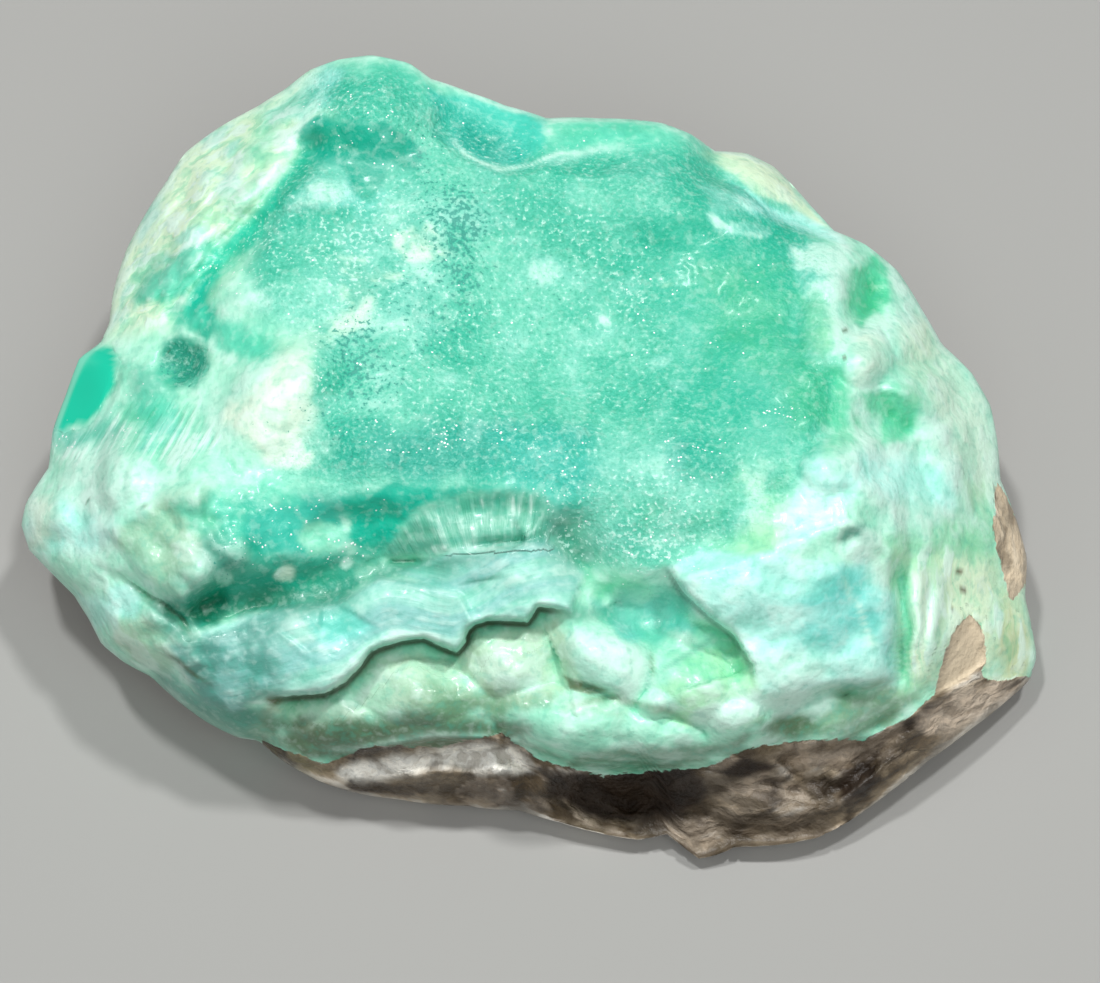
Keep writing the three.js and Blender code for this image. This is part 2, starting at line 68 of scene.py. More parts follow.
# The skin: the middle of the display side, its share of the ball, how squarely it turns at the rim,
# how deep the hidden side goes and the point that its roughness grows out from.
CENTRE = (-2, 2)
FRONT_SHARE = 0.8
RIM_POWER = 12
HIDDEN_DEPTH = 33
CORE = (-2, 5, 14)
SKIN_CUTS = 124
RIM_SNAP = 0.34 / SKIN_CUTS
BOX_ROOM = 0.02

# How softly broad faces meet, how long an edge takes to die out, how often the skin is smoothed to
# find its creases and its swells, and the size of one drusy crystal.
FACE_BLEND = 5
END_TAPER = 3.5
CREASE_ROUNDS, SWELL_ROUNDS = 30, 160
GRAIN_MM = 0.27

RISE = math.sin(SIGHT_ELEVATION)
LEAN = math.cos(SIGHT_ELEVATION)

# The rim, anticlockwise from the right: across, up, height above the table.
RIM = [
    (45.4, 1.2, 12), (45.1, 5.2, 13.5), (44.4, 8.7, 15), (42.5, 12, 17), (39.5, 14.9, 18), (37.5, 18.4, 20),
    (35, 22.4, 22), (31.8, 25, 24), (28.6, 26.4, 25), (26.5, 28.7, 22), (24.5, 31, 21), (22.5, 33, 21),
    (19.8, 34.3, 22), (16.6, 34.5, 24), (14.2, 36.2, 28), (11.4, 37.3, 29), (5, 37.8, 28), (-0.3, 37.8, 28),
    (-4.5, 39.1, 29), (-8, 40.4, 30), (-12, 41.8, 31), (-14.2, 43.4, 32), (-18, 44.2, 32),
    (-21.5, 43.7, 31), (-24.2, 42.7, 29), (-26.6, 40.8, 27), (-29.5, 39, 25), (-33.5, 36.8, 23),
    (-36.7, 34.4, 21), (-38.8, 31.2, 20), (-41, 27.7, 19), (-42.8, 24.2, 18), (-44, 20.2, 18),
    (-44.4, 17, 19), (-45.3, 15, 20), (-47.4, 13.5, 20), (-48.8, 9.7, 18), (-50.1, 6.2, 17),
    (-50.5, 2.4, 16), (-52.8, -1.2, 15), (-53.3, -3.4, 14), (-52.5, -6, 13), (-50.2, -8.4, 12),
    (-48, -10.6, 11), (-46.5, -13, 10), (-45.2, -15.6, 9.5), (-43, -17.4, 9), (-40.2, -18.9, 9),
    (-37.5, -21.4, 9), (-34.5, -23.6, 8.5), (-31.5, -25.1, 8), (-29.4, -25.4, 7.5), (-27, -27.4, 6.5),
    (-23.5, -29.4, 5), (-20, -30.6, 4), (-15, -31.4, 3), (-8.5, -32, 3), (-3, -32.5, 3), (1, -33.7, 3),
    (5, -34.8, 2.5), (9, -35.5, 2.5), (11.8, -34.9, 2.5), (13.2, -36, 2.5), (15, -37.4, 2),
    (16.6, -37.1, 2), (18.8, -36.2, 2.5), (24, -35.9, 3), (27.2, -35.2, 3), (30.2, -33.6, 3.5),
    (34.3, -30.6, 4), (38.2, -27.4, 4.5), (42.2, -24.4, 4.5), (46, -21.4, 4), (48.4, -19.2, 3.5),
    (49.1, -16.8, 4.5), (48.6, -13.8, 6), (47.9, -10.8, 7), (48.1, -6.8, 8.5), (47, -2.8, 10.5),
]

# The broad faces: a point (across, up, height) and the rise per millimetre across and up.
FACES = [
    ((5, 15, 31), (0, 0.03)),
    ((0, -1, 30.5), (0, 0.62)),
    ((3, -27, 13.5), (0, 1.6)),
    ((-27, 8, 31), (0.5, 0.12)),
    ((-26, 39, 31), (1.0, -0.6)),
    ((31, 5, 28), (-0.85, 0)),
    ((30, 22, 28), (-0.55, -0.4)),
    ((34, -8, 22.5), (-0.65, 0.6)),
]

# The two broken plates at the front.
LOWER_PLATE = [
    (-37, -15.5), (-34.5, -14.6), (-31, -13.4), (-26.2, -12), (-22.9, -12), (-21.2, -11.3), (-17.3, -8.9),
    (-12.5, -9.6), (-9.1, -10.6), (-8.1, -13), (-9.6, -16.2), (-12.7, -15.1), (-16.8, -15.9),
    (-19.2, -17.8), (-22.8, -20.5), (-28.9, -20.9), (-32, -22.4), (-34.5, -21.4), (-38.5, -16),
]
UPPER_PLATE = [
    (-15, -8.4), (-12, -7.2), (-9.1, -5.7), (-0.4, -5), (3.5, -8.4), (2.1, -12.4), (-1.3, -12),
    (-2.5, -13.5), (-6.4, -13), (-8.3, -14), (-9.1, -10.6), (-12.5, -9.6),
]

# Plates and crystal faces, nearly flat: a point on each, its slope, how flat, and its outline.
PLATES = [
    ((-17, -13.5, 23.3), (0.02, 0.5), 0.92, LOWER_PLATE),
    ((-4, -9, 26), (0.03, 0.46), 0.85, UPPER_PLATE),
    ((24, -12, 25.6), (-0.22, 0.65), 0.45, [(13, -9.4), (19.5, -6.8), (25, -4.8), (31, -2.8), (34.4, -6),
        (34.8, -14), (34.9, -19), (31, -19.9), (25, -20), (21.2, -20.8), (18.4, -14.7), (14.6, -13.6)]),
    ((-47, 10, 20.6), (0.62, 0.06), 0.9, [(-50, 6.2), (-47.4, 13.2), (-45, 14.6), (-43.6, 13.8),
        (-43.6, 11), (-45, 7.5), (-47.5, 5.6)]),
    ((-43, 2, 26.2), (0.45, 0), 0.6, [(-45.1, -0.4), (-44.7, 4.2), (-43.2, 4.8), (-41.9, 3.7), (-41.7, 1.2),
        (-43.4, -1.4)]),
    ((-38, -5.5, 26.4), (0.22, 0.36), 0.55, [(-45, -3.8), (-41.5, -1.4), (-38.5, 0.2), (-35, 0.6),
        (-34.5, -2.8), (-33.5, -5.4), (-35.5, -7.4), (-37, -10.8), (-39, -10.8), (-41.5, -8.4)]),
    ((-42.6, -11.4, 21.9), (0.35, 0.25), 0.9, [(-44.7, -9.9), (-41.4, -9.4), (-40.6, -12), (-42.6, -13.4),
        (-44.6, -12.2)]),
    ((-41.3, -14, 21.4), (0.2, 0.7), 0.9, [(-43.4, -13.3), (-40.4, -12.6), (-39.2, -14.2), (-41, -15.4),
        (-43, -14.8)]),
    ((-37.7, -16, 21.7), (0.3, 0.2), 0.9, [(-40.2, -14.2), (-38, -13.8), (-35, -17.4), (-36.6, -18.4),
        (-39, -16.4)]),
    ((41.6, -17, 12.2), (-0.7, 0.6), 0.8, [(42.4, -12.7), (44.1, -17.2), (42.4, -19.4), (38.8, -20.6),
        (40.2, -16.1)]),
    ((-12.5, -28, 11.3), (0, 0.22), 0.85, [(-21, -26.4), (-4, -26), (-2.6, -28.4), (-9, -29.6),
        (-20, -29)]),
    ((21, -31.5, 6.6), (-0.1, 1.2), 0.7, [(16, -29), (24, -28), (29.6, -29.4), (27, -33.4), (21, -34.6),
        (16.4, -33.4)]),
    ((22, -30.4, 6.9), (-0.1, 1.15), 0.9, [(17, -30.6), (22.5, -28.4), (25, -29.9), (27.2, -32),
        (24, -32.6), (21, -31.1)]),
    ((29, -27.2, 8.9), (0, 1.15), 0.85, [(23, -27), (30, -25.9), (35.7, -24.2), (33, -28.1), (29, -31.1),
        (25.2, -29.9)]),
    ((-11, -31, 6.6), (0, 1.25), 0.8, [(-20.5, -29.9), (-12, -28.9), (-2, -28.9), (0, -32.4), (-10, -31.7),
        (-16, -30.9)]),
]

# The faces that the hidden side broke to: which way each one faces and how far out it lies.
FRACTURES = [
    ((0.1, 1, 0.15), 41.5), ((0.62, 0.75, 0.1), 42), ((-0.66, 0.72, 0.05), 52), ((-0.97, 0.3, -0.3), 46),
    ((-0.3, -0.75, -0.59), 18), ((0.9, 0.3, -0.4), 40), ((0.5, -0.6, -0.6), 30),
]

# Swells and hollows: across, up, half length, half width, turn in degrees, rise.
SWELLS = [
    (5, 16, 25, 15, 0, -2.8), (-18.5, 39, 9, 8, 0, 2.6), (-20, 34.8, 6.5, 3.6, 0, -0.6),
    (-27.5, 9.6, 10, 6, 50, 2.6), (-28, 20, 9, 6, 20, 1.5), (-25.5, 29.5, 7, 4, 10, 1.2),
    (-42, -1, 11, 9, 0, 2.5), (-39, -8, 7, 6, 0, 1.6), (22, 32, 6.5, 4.5, -40, 3), (25, -9, 10, 9, 0, 2),
    (31, -2, 8, 8, 0, 1.6), (34, 14, 9, 10, 0, 1.5), (37.5, -14, 3, 9, 0, 1.6),
    (-18.5, -3.4, 4.5, 3.6, 0, -1.2), (6.5, -31, 9, 4, 0, -1.6), (-11, -28.3, 8, 2.4, -8, 1.6),
    (15, -35, 3, 3, 0, 1.2), (-26, -4.5, 8, 4, 20, -0.8), (41, -16, 6, 6, 0, 1.2), (12, 29, 12, 5, 0, 0.8),
]

# Lumps with a crease round each, of which the highest shows.
LUMPS = [
    (-42.5, 2.4, 4.8, 3.2, 70, 1.8), (-51, -2.3, 4, 3.5, 0, 1.4), (-37, -6.5, 6, 5, 20, 1.6),
    (-36, 0.4, 5.5, 4, -30, 1.2), (-44, -12.5, 4.4, 3, -50, 1.4), (-39.5, -15.5, 3.8, 3, -40, 1.2),
    (-46, -6.5, 4.5, 3.5, 30, 1.2), (-33.5, -5.5, 3.6, 3, 0, 1), (28.6, 22.4, 4.6, 3.4, 70, 1.8),
    (28, 16, 2.8, 5, 12, 1.2), (36.8, 15.4, 3.6, 3, 0, 2), (32, 13.4, 3.4, 2.8, 40, 1.9),
    (37.2, 9.8, 4, 3.4, -30, 2), (40.4, 3, 3, 6, 10, 1.6), (29.6, 2.8, 4.6, 3.2, 15, 2),
    (32.6, -2.4, 4, 5, 0, 1.2), (18.5, -10.4, 7.2, 4.6, -15, 2), (26.5, -13, 6.5, 6.5, 0, 1.4),
    (22.5, -19, 7, 4.4, 20, 1.8), (32, -15, 4, 5.5, 0, 1.2), (-4.6, -17, 5.2, 4.2, 0, 1.8),
    (-13, -20.4, 7, 3.4, 8, 1.3), (-21.5, -23.6, 6, 2.6, -8, 1.2), (5.6, -17.6, 5, 4.4, -30, 2.2),
    (1.6, -24, 8, 4.2, -10, 2.4), (10.5, -25.2, 6, 2.8, -8, 1.8), (14.8, -20.4, 5.4, 4.4, 0, 2.4),
    (19, -23.2, 4, 2.8, 0, 2), (11, -21.8, 2.6, 2, 30, 2.2), (31.7, 0.5, 4.6, 1.9, -42, 1.5),
    (34.6, -5, 1.7, 4.4, 5, 1.3), (20, -8, 5, 2.6, -8, 1.2), (26, -17, 5.5, 2.8, -6, 1),
    (29.5, -9.5, 1.6, 4, 20, 0.8), (38, -3, 2.4, 3.4, 0, 1), (-32, 30, 5, 2.2, 62, 1.3),
    (-28.6, 33.4, 4.4, 2.4, 40, 1.2), (-36, 25.4, 4.4, 2, 66, 1.1), (-39.4, 21.6, 3.4, 1.7, 60, 0.9),
    (-34.6, 31, 3.2, 1.5, 55, 1), (-25.6, 37.4, 4, 2.2, 40, 1),
]

# Scoops with a crisp edge, as lumps turned inward.
SCOOPS = [
    (-5.5, 36.6, 7, 4.6, -22, 2.6), (4.5, 35.2, 8.5, 3.4, 0, 1.6), (-36.9, 12.7, 3, 2.6, 30, 1.6),
    (-46.8, 10.2, 3.6, 5.4, -24, 2), (31.8, 19.6, 2.6, 3.4, 10, 1.6), (34, 7.6, 4, 2.6, -10, 1.6),
    (30.3, -5, 1.5, 1, 30, 1), (7.5, -30.2, 8.5, 2.6, 4, 1.2),
]

# Ledges: drop, softness, reach of the hollow below, how much painted shadow and painted highlight lie beside
# the edge, how dark the painted shadow line under it is, and the edge line, high side on its left.
LEDGES = [
    (2.6, 0.4, 7, 0.7, 1, [(-29.5, -20.7), (-28.9, -20.9), (-27.2, -20.8), (-22.8, -20.5), (-21, -19.4),
        (-19.2, -17.8), (-18, -16.5), (-16.8, -15.9), (-15, -15.4), (-12.7, -15.1), (-11, -15.8),
        (-9.6, -16.2), (-8.7, -15.1), (-8.3, -14), (-7.6, -13.4), (-6.4, -13), (-4.5, -13.1), (-2.5, -13.5),
        (-1.9, -12.8), (-1.3, -12), (0, -12.2), (2.6, -12.2)]),
    (1.1, 0.3, 3.5, 0, 0, [(-7.6, -14), (-8.1, -12.6), (-9.1, -10.6), (-12.5, -9.6), (-17.3, -8.9),
        (-19.5, -10.4), (-21.4, -11.4), (-26.2, -12), (-31, -12.6), (-36, -14)]),
    (0.3, 0.25, 4, 0, 0, [(-23.6, -16.6), (-22.9, -12), (-21.2, -11.6), (-18, -13.6), (-17.4, -15.4)]),
    (0.4, 0.25, 3, 0, 0, [(-24, -19.4), (-24.6, -16.2), (-27.6, -14.2), (-30.4, -15.6), (-31.5, -19)]),
    (1.3, 1.4, 5, 0, 0, [(-27, -5.6), (-21, -2.6), (-15, -2), (-10, -1.2), (-4, -0.9), (-0.5, -2),
        (0.6, -3.6)]),
    (1.8, 0.6, 8, 0, 0, [(29.4, 25.2), (24, 27), (19, 30), (14.6, 32.8)]),
    (1.6, 1.5, 5, 0.6, 0, [(-4.4, -22.4), (-2, -25.4), (2.5, -27.4), (9, -28), (15, -27.7), (23, -26.2),
        (29, -25.4), (36, -21.4)]),
    (1.4, 0.7, 6, 0, 0, [(21.2, -20.6), (25, -21.4), (30, -19.9), (35.5, -19.6)]),
    (1.6, 0.4, 6, 0.8, 0, [(-24, -26.6), (-18, -26.4), (-12, -25.2), (-5, -25.4)]),
    (1.8, 0.25, 6, 0.5, 0.45, [(11.4, -7), (12.1, -8), (13.7, -11), (16.5, -13.6), (18.4, -14.7),
        (20.8, -17.9), (21.1, -20.4)]),
    (0.8, 0.25, 4, 0.5, 0.45, [(-44, -8), (-40, -11), (-37, -12.6), (-35.5, -15.6)]),
]

# Grooves: depth, width and line.
GROOVES = [
    (1.5, 1.7, [(-23, 37), (-27, 31.5), (-31, 26), (-34, 21.8), (-36.5, 17.4)]),
    (0.8, 1.4, [(-31, 27), (-26, 27.8), (-21, 28.4)]),
    (2.2, 2.6, [(-38, -12), (-31, -11.4), (-25, -9.8), (-17, -7.2), (-10, -6.4)]),
    (2.6, 2.8, [(0.6, -1.5), (2.2, -5), (4, -8.5), (6, -11.2), (10, -13), (14, -15)]),
    (0.9, 0.6, [(-17, -7.4), (-12, -7)]),
    (0.9, 0.6, [(-9.2, -5.8), (-5, -5.4), (-0.6, -5)]),
    (1.6, 1.2, [(-44, -8), (-40, -11), (-37, -12.6), (-33.5, -10.5), (-31.5, -8)]),
    (1.6, 1.1, [(35, -6), (35.3, -11.5), (35.7, -14.4), (34.9, -18.5), (35.3, -21)]),
    (1.2, 0.6, [(2.2, -19.2), (5.7, -20.9), (8, -20.6)]),
    (1.4, 1.4, [(-4.5, -24.7), (-2.4, -27.4), (-0.6, -30)]),
    (1.2, 0.5, [(20, -28.4), (24, -30), (27.6, -31.8)]),
    (0.8, 0.5, [(27, -29.4), (32, -26.8), (38, -22.8)]),
    (1, 0.5, [(37.5, -7), (38.4, -10), (37.6, -15), (36.8, -20)]),
]

# Where the crust is knobbly: across, up, half length, half width, turn, and how much.
KNOBBLY = [
    (-42, -4, 14, 13, 0, 1), (-33, 27, 9, 13, -36, 1.5), (33, 8, 12, 20, 10, 1.3),
    (27, -12, 13, 11, 0, 0.5), (6, -22, 20, 8, 0, 0.7), (-18, 39, 9, 7, 0, 0.3), (-14, -24, 16, 5, 0, 0.5),
    (-28, 8, 8, 10, 0, 0.4),
]
LEFT_KNOBS = (-40, -5, 15, 13, 0)

# The kinds of surface, as outlines, and the round pit at the left as an ellipse.
DRUSE = [
    (-25, 43), (-15, 43), (-11, 40), (-1, 34), (15, 35), (19, 32), (25, 28), (29, 24), (28, 16), (29, 9),
    (27, 4), (24, -1), (18, -6), (10, -8), (5, -7), (1, -1), (-5, 1), (-15, 0), (-22, -1), (-28, 2),
    (-24, 7), (-24, 15), (-30, 18), (-30, 27), (-25, 36),
]
ROCK = [
    (-29, -25.5), (-23, -27.6), (-18, -25.8), (-11, -26), (-5, -24.6), (-1, -27.4), (5, -29), (15, -28.4),
    (21, -26), (27, -25.4), (31.2, -25.4), (35.3, -23.6), (38.6, -20.8), (40, -16), (42.6, -12.6),
    (44, -16), (43.6, -19), (45, -19.4), (48, -18.6), (60, -18), (60, -50), (-40, -50),
]
ROCK_FACE = [
    (42.4, -12.6), (43.5, -13.8), (43.8, -15.8), (44, -17.4), (42.5, -18.6), (40.5, -19.9), (38.6, -20.9),
    (39.4, -17.9), (40.5, -14.8), (41.2, -13.7),
]
ROCK_FLAKE = [
    (45, 1.1), (46.2, -0.8), (48.2, -5.3), (48.4, -8.7), (46.6, -11.1), (45.5, -7.8), (44.7, -3.9),
]
WHITE_FACE = [
    (-22, -28.4), (-20, -27.4), (-13, -26.4), (-7, -25.6), (-4, -26.1), (-1.3, -28.8), (-5, -28.6),
    (-11, -28.1), (-17, -29.4), (-21.5, -29.2),
]
EMERALD = [
    (-25.2, 34), (-25.4, 36.6), (-23.5, 38), (-20, 37.6), (-16.5, 37.4), (-14.5, 36.4), (-12.4, 34.4),
    (-13.6, 32.8), (-16, 33), (-16.6, 31), (-18, 29.6), (-19.6, 30.6), (-21, 32.4), (-23.6, 33),
]
LIP_EMERALD = [
    (-21, -1), (-18, -0.4), (-16, 0.8), (-13.4, 0.4), (-12, -0.6), (-13.4, -2), (-14, -3.8), (-16.4, -5),
    (-19, -6), (-21, -5.6), (-20.4, -3.4),
]
SMOOTH_DRUSE = [
    (11, 28), (16, 30), (22, 26), (27, 20), (27.5, 12), (26, 5), (21, 2), (16, 6), (13, 12), (11, 20),
]
GLASSY_FACE = [
    (-48, 14.8), (-44.2, 14.9), (-43.2, 13), (-44, 10.6), (-46.2, 6.6), (-49, 5.8), (-50.4, 6.4),
    (-50.4, 8.7),
]
LEFT_FIBRES = [(-48, 6), (-44, 8), (-40, 9.4), (-36, 8.8), (-33, 5), (-36, 2), (-44, 3.6), (-52, 2)]
SLAB = [
    (35.3, -6.8), (39, -5.4), (46, -7), (48, -10), (49, -16), (48, -19), (45, -19.4), (44, -16),
    (42.6, -12.6), (40, -16), (38.6, -20.8), (35.3, -20.6),
]
FLANK = [(-24, 44), (-22, 36), (-27, 30), (-32, 24), (-36, 17), (-50, 15), (-50, 45)]
FAN = [(-17, -6.8), (-14, -3), (-9, -0.8), (-1, -0.3), (0.2, -3), (0, -5.6), (-9, -6)]
PIT = (-36.8, 12.9, 2.7, 2.6, 0)
ROCK_PATCHES = (ROCK_FACE, ROCK_FLAKE)
PLAIN_FACES = (ROCK_FACE, ROCK_FLAKE, WHITE_FACE)


# ---- Small maths ----
def smoothstep(x, low, high):
    t = np.clip((x - low) / (high - low), 0, 1)
    return t * t * (3 - 2 * t)


def mix(a, b, t):
    return a + (b - a) * t


def smooth_min(a, b, blend):
    near = np.maximum(blend - np.abs(a - b), 0) / blend
    return np.minimum(a, b) - near * near * blend * 0.25


def hashed(x, y, z):
    """A repeatable value from 0 to 1 for a whole-number place."""
    mixed = np.sin(x * 127.1 + y * 311.7 + z * 74.7) * 43758.5453
    return mixed - np.floor(mixed)


def noise(x, y, z):
    """Smooth noise from -1 to 1, with features one unit across."""
    x0, y0, z0 = np.floor(x), np.floor(y), np.floor(z)
    tx, ty, tz = (t * t * (3 - 2 * t) for t in (x - x0, y - y0, z - z0))

    def edge(dy, dz):
        return mix(hashed(x0, y0 + dy, z0 + dz), hashed(x0 + 1, y0 + dy, z0 + dz), tx)
    return mix(mix(edge(0, 0), edge(1, 0), ty), mix(edge(0, 1), edge(1, 1), ty), tz) * 2 - 1


def roughness(x, y, z, size):
    fine = 2.1 / size
    return noise(x / size, y / size, z / size) + 0.5 * noise(x * fine, y * fine, z * fine + 7)


def fractal(x, y, z, size, octaves=4):
    total = 0
    for octave in range(octaves):
        k = 2.07 ** octave / size
        total = total + noise(x * k, y * k + 3.1 * octave, z * k + 7.7 * octave) / 1.9 ** octave
    return total


def nearest_cell(x, y, z, size, measure):
    """Distance from the nearest of many scattered points, its own value (0 to 1) and the next one's lead."""
    x, y, z = x / size, y / size, z / size
    x0, y0, z0 = np.floor(x), np.floor(y), np.floor(z)
    nearest, second = np.full(np.shape(x), 9.0), np.full(np.shape(x), 9.0)
    value = np.zeros(np.shape(x))
    for dx in (-1, 0, 1):
        for dy in (-1, 0, 1):
            for dz in (-1, 0, 1):
                cx, cy, cz = x0 + dx, y0 + dy, z0 + dz
                away = measure(cx + hashed(cx, cy, cz) - x, cy + hashed(cx, cy, cz + 31) - y,
                               cz + hashed(cx, cy, cz + 67) - z)
                value = np.where(away < nearest, hashed(cx + 5, cy, cz + 13), value)
                second = np.minimum(second, np.maximum(nearest, away))
                nearest = np.minimum(nearest, away)
    return nearest, value, second - nearest


def round_measure(x, y, z):
    return x * x + y * y + z * z


def faceted_measure(x, y, z):
    across = np.maximum(np.abs(0.86 * x + 0.5 * y), np.abs(-0.4 * x + 0.7 * y + 0.6 * z))
    return np.maximum(across, np.abs(0.3 * x - 0.5 * y + 0.8 * z))


def lumpiness(x, y, z, size):
    """Rounded swellings packed side by side, from 0 in the creases to about 1 on top."""
    return np.maximum(1 - nearest_cell(x, y, z, size, round_measure)[0], 0)


def facets(x, y, z, size):
    """Small crystals side by side, all with their faces turned the same ways."""
    return np.maximum(1 - nearest_cell(x, y, z, size, faceted_measure)[0], 0)


def line_distance(line, u, v):
    """Distance from a line of points, the side (left is +1) and a taper to 0 at both ends."""
    distance = np.full(np.shape(u), 1e9)
    side = np.ones(np.shape(u))
    along = np.zeros(np.shape(u))
    travelled = 0
    for (x0, y0), (x1, y1) in zip(line, line[1:]):
        dx, dy = x1 - x0, y1 - y0
        length = math.hypot(dx, dy)
        t = np.clip(((u - x0) * dx + (v - y0) * dy) / length ** 2, 0, 1)
        here = np.hypot(u - x0 - t * dx, v - y0 - t * dy)
        closer = here < distance
        distance = np.where(closer, here, distance)
        side = np.where(closer, np.where(dx * (v - y0) - dy * (u - x0) < 0, -1.0, 1.0), side)
        along = np.where(closer, travelled + t * length, along)
        travelled += length
    end = min(END_TAPER, travelled / 3)
    taper = smoothstep(along, 0, end) * smoothstep(travelled - along, 0, end)
    return distance, side, taper


def ellipse_distance(shape, u, v):
    across, up, long, wide, turn = shape[:5]
    c, s = math.cos(math.radians(turn)), math.sin(math.radians(turn))
    x, y = u - across, v - up
    return np.hypot((x * c + y * s) / long, (y * c - x * s) / wide)


def eased(q):
    """1 over the middle of an ellipse, easing to 0 at its edge, where q is 1."""
    return smoothstep(-q, -1, -0.6)


def domed(q):
    return 1 - q * q


def faded(q):
    """1 over the middle of an ellipse, fading to 0 a little outside it."""
    return 1 - smoothstep(q, 0.45, 1.25)


def strongest(shapes, u, v, profile):
    """The highest of many ellipses at each place; the sixth number of each says how strong it is."""
    most = np.zeros(np.shape(u))
    for shape in shapes:
        most = np.maximum(most, shape[5] * profile(ellipse_distance(shape, u, v)))
    return most


# ---- The display side ----
def rim_at(angle):
    """The rim's radius and height in each direction from the centre."""
    points = np.array(RIM, float)
    du, dv = points[:, 0] - CENTRE[0], points[:, 1] - CENTRE[1]
    order = np.argsort(np.arctan2(dv, du))
    angles = np.arctan2(dv, du)[order]
    radius = np.interp(angle, angles, np.hypot(du, dv)[order], period=2 * math.pi)
    height = np.interp(angle, angles, points[order, 2], period=2 * math.pi)
    return radius, height


def plane_height(point, slope, u, v):
    return point[2] + slope[0] * (u - point[0]) + slope[1] * (v - point[1])


def face_height(u, v):
    height = None
    for point, slope in FACES:
        plane = plane_height(point, slope, u, v)
        height = plane if height is None else smooth_min(height, plane, FACE_BLEND)
    return height


def wandered(u, v):
    """Sight lines moved about a little, so that no edge or lump is a neat figure."""
    du = 0.4 * noise(u / 7, v / 7, 3.5 + 0 * u) + 0.25 * noise(u / 2.3, v / 2.3, 11.5 + 0 * u)
    dv = 0.4 * noise(u / 7, v / 7, 23.5 + 0 * u) + 0.25 * noise(u / 2.3, v / 2.3, 31.5 + 0 * u)
    return u + du, v + dv


def display_height(u, v):
    height = face_height(u, v)
    u, v = wandered(u, v)
    for swell in SWELLS:
        q = ellipse_distance(swell, u, v)
        height = height + swell[5] * np.maximum(domed(q), 0) ** 2
    height = height + strongest(LUMPS, u, v, domed) - strongest(SCOOPS, u, v, domed)
    for point, slope, flatness, outline in PLATES:
        height = mix(height, plane_height(point, slope, u, v), flatness * in_region(outline, u, v, 0.6))
    for drop, soft, reach, _, _, line in LEDGES:
        distance, side, taper = line_distance(line, u, v)
        fade = taper * np.exp(-(distance / reach) ** 2)
        height = height - drop * smoothstep(-side * distance, -soft, soft) * fade
    for deep, wide, line in GROOVES:
        distance, _, taper = line_distance(line, u, v)
        height = height - deep * taper * np.exp(-(distance / wide) ** 2)
    return height


def knob_relief(u, v):
    """Knobs and blunt crystals that stand on the crust."""
    deep = np.full(np.shape(u), 4.5)
    rounded = lumpiness(u, v, deep, 5.5)
    angular = facets(u, v, deep, 2.6)
    crystals = 2.4 * facets(u, v, deep, 4.6) * eased(ellipse_distance(LEFT_KNOBS, u, v))
    return (0.9 * rounded + 0.5 * angular - 0.6) * (0.15 + strongest(KNOBBLY, u, v, eased)) + crystals


def signed_distance(outline, u, v):
    """Distance to a closed outline, positive inside it."""
    inside = np.zeros(np.shape(u), bool)
    for (x0, y0), (x1, y1) in zip(outline, outline[1:] + outline[:1]):
        crosses = (y0 > v) != (y1 > v)
        inside ^= crosses & (u < (x1 - x0) * (v - y0) / ((y1 - y0) or 1e-9) + x0)
    distance = line_distance(outline + outline[:1], u, v)[0]
    return np.where(inside, distance, -distance)


def in_region(outline, u, v, soft):
    """1 inside a closed outline and 0 outside, passing smoothly over soft millimetres."""
    return smoothstep(signed_distance(outline, u, v), -soft, soft)


def fine_relief(u, v):
    """The finer grain of each kind of surface, under about half a millimetre."""
    flat = np.zeros(np.shape(u))
    wu, wv = wandered(u, v)
    druse = in_region(DRUSE, wu, wv, 2)
    rock = in_region(ROCK, wu, wv, 0.8)
    flank = in_region(FLANK, wu, wv, 2)
    waxy = (1 - druse) * (1 - rock)
    grain = 0.12 * facets(u, v, flat, 0.9) + 0.08 * fractal(u, v, flat, 2.2, 3)
    wax = 0.2 * fractal(wu, wv, flat, 3.6, 4) + 0.26 * facets(wu, wv, flat, 2.1)
    wax = wax + 0.12 * facets(u, v, flat, 1)
    turned, across = 0.82 * u + 0.57 * v, 0.57 * u - 0.82 * v
    fibres = 0.9 * fractal(across / 1.8 + 0.8 * wv / 6, turned / 7, flat, 1, 3)
    angle = np.arctan2(v - CENTRE[1], u - CENTRE[0])
    from_rim = rim_at(angle)[0] - np.hypot(u - CENTRE[0], v - CENTRE[1])
    for face in PLAIN_FACES:
        rock = rock * (1 - 0.85 * in_region(face, u, v, 0.5))
    strata = fractal(angle * 9, from_rim / 1.1 + 2 * angle, flat, 1, 3)
    steps = 0.15 * strata + 0.8 * facets(angle * 28, from_rim / 1.1, flat, 3) + 2.2 * facets(u, v, flat, 6.5)
    return druse * grain + waxy * (wax + flank * fibres) + rock * (steps - 1.1)


def depth_of(height, v):
    return (height - MIDDLE_HEIGHT - v * LEAN) / (RISE - v * LEAN / SIGHT_DISTANCE)


def place(u, v, depth):
    shrink = 1 - depth / SIGHT_DISTANCE
    across, up = u * shrink, v * shrink
    return np.stack([across, up * RISE - depth * LEAN, MIDDLE_HEIGHT + up * LEAN + depth * RISE], axis=1)


def sight_of(points):
    """The sight line (across, up) and depth of each place, the inverse of place()."""
    y, z = points[:, 1], points[:, 2] - MIDDLE_HEIGHT
    up, depth = y * RISE + z * LEAN, z * RISE - y * LEAN
    grow = 1 / (1 - depth / SIGHT_DISTANCE)
    return points[:, 0] * grow, up * grow, depth


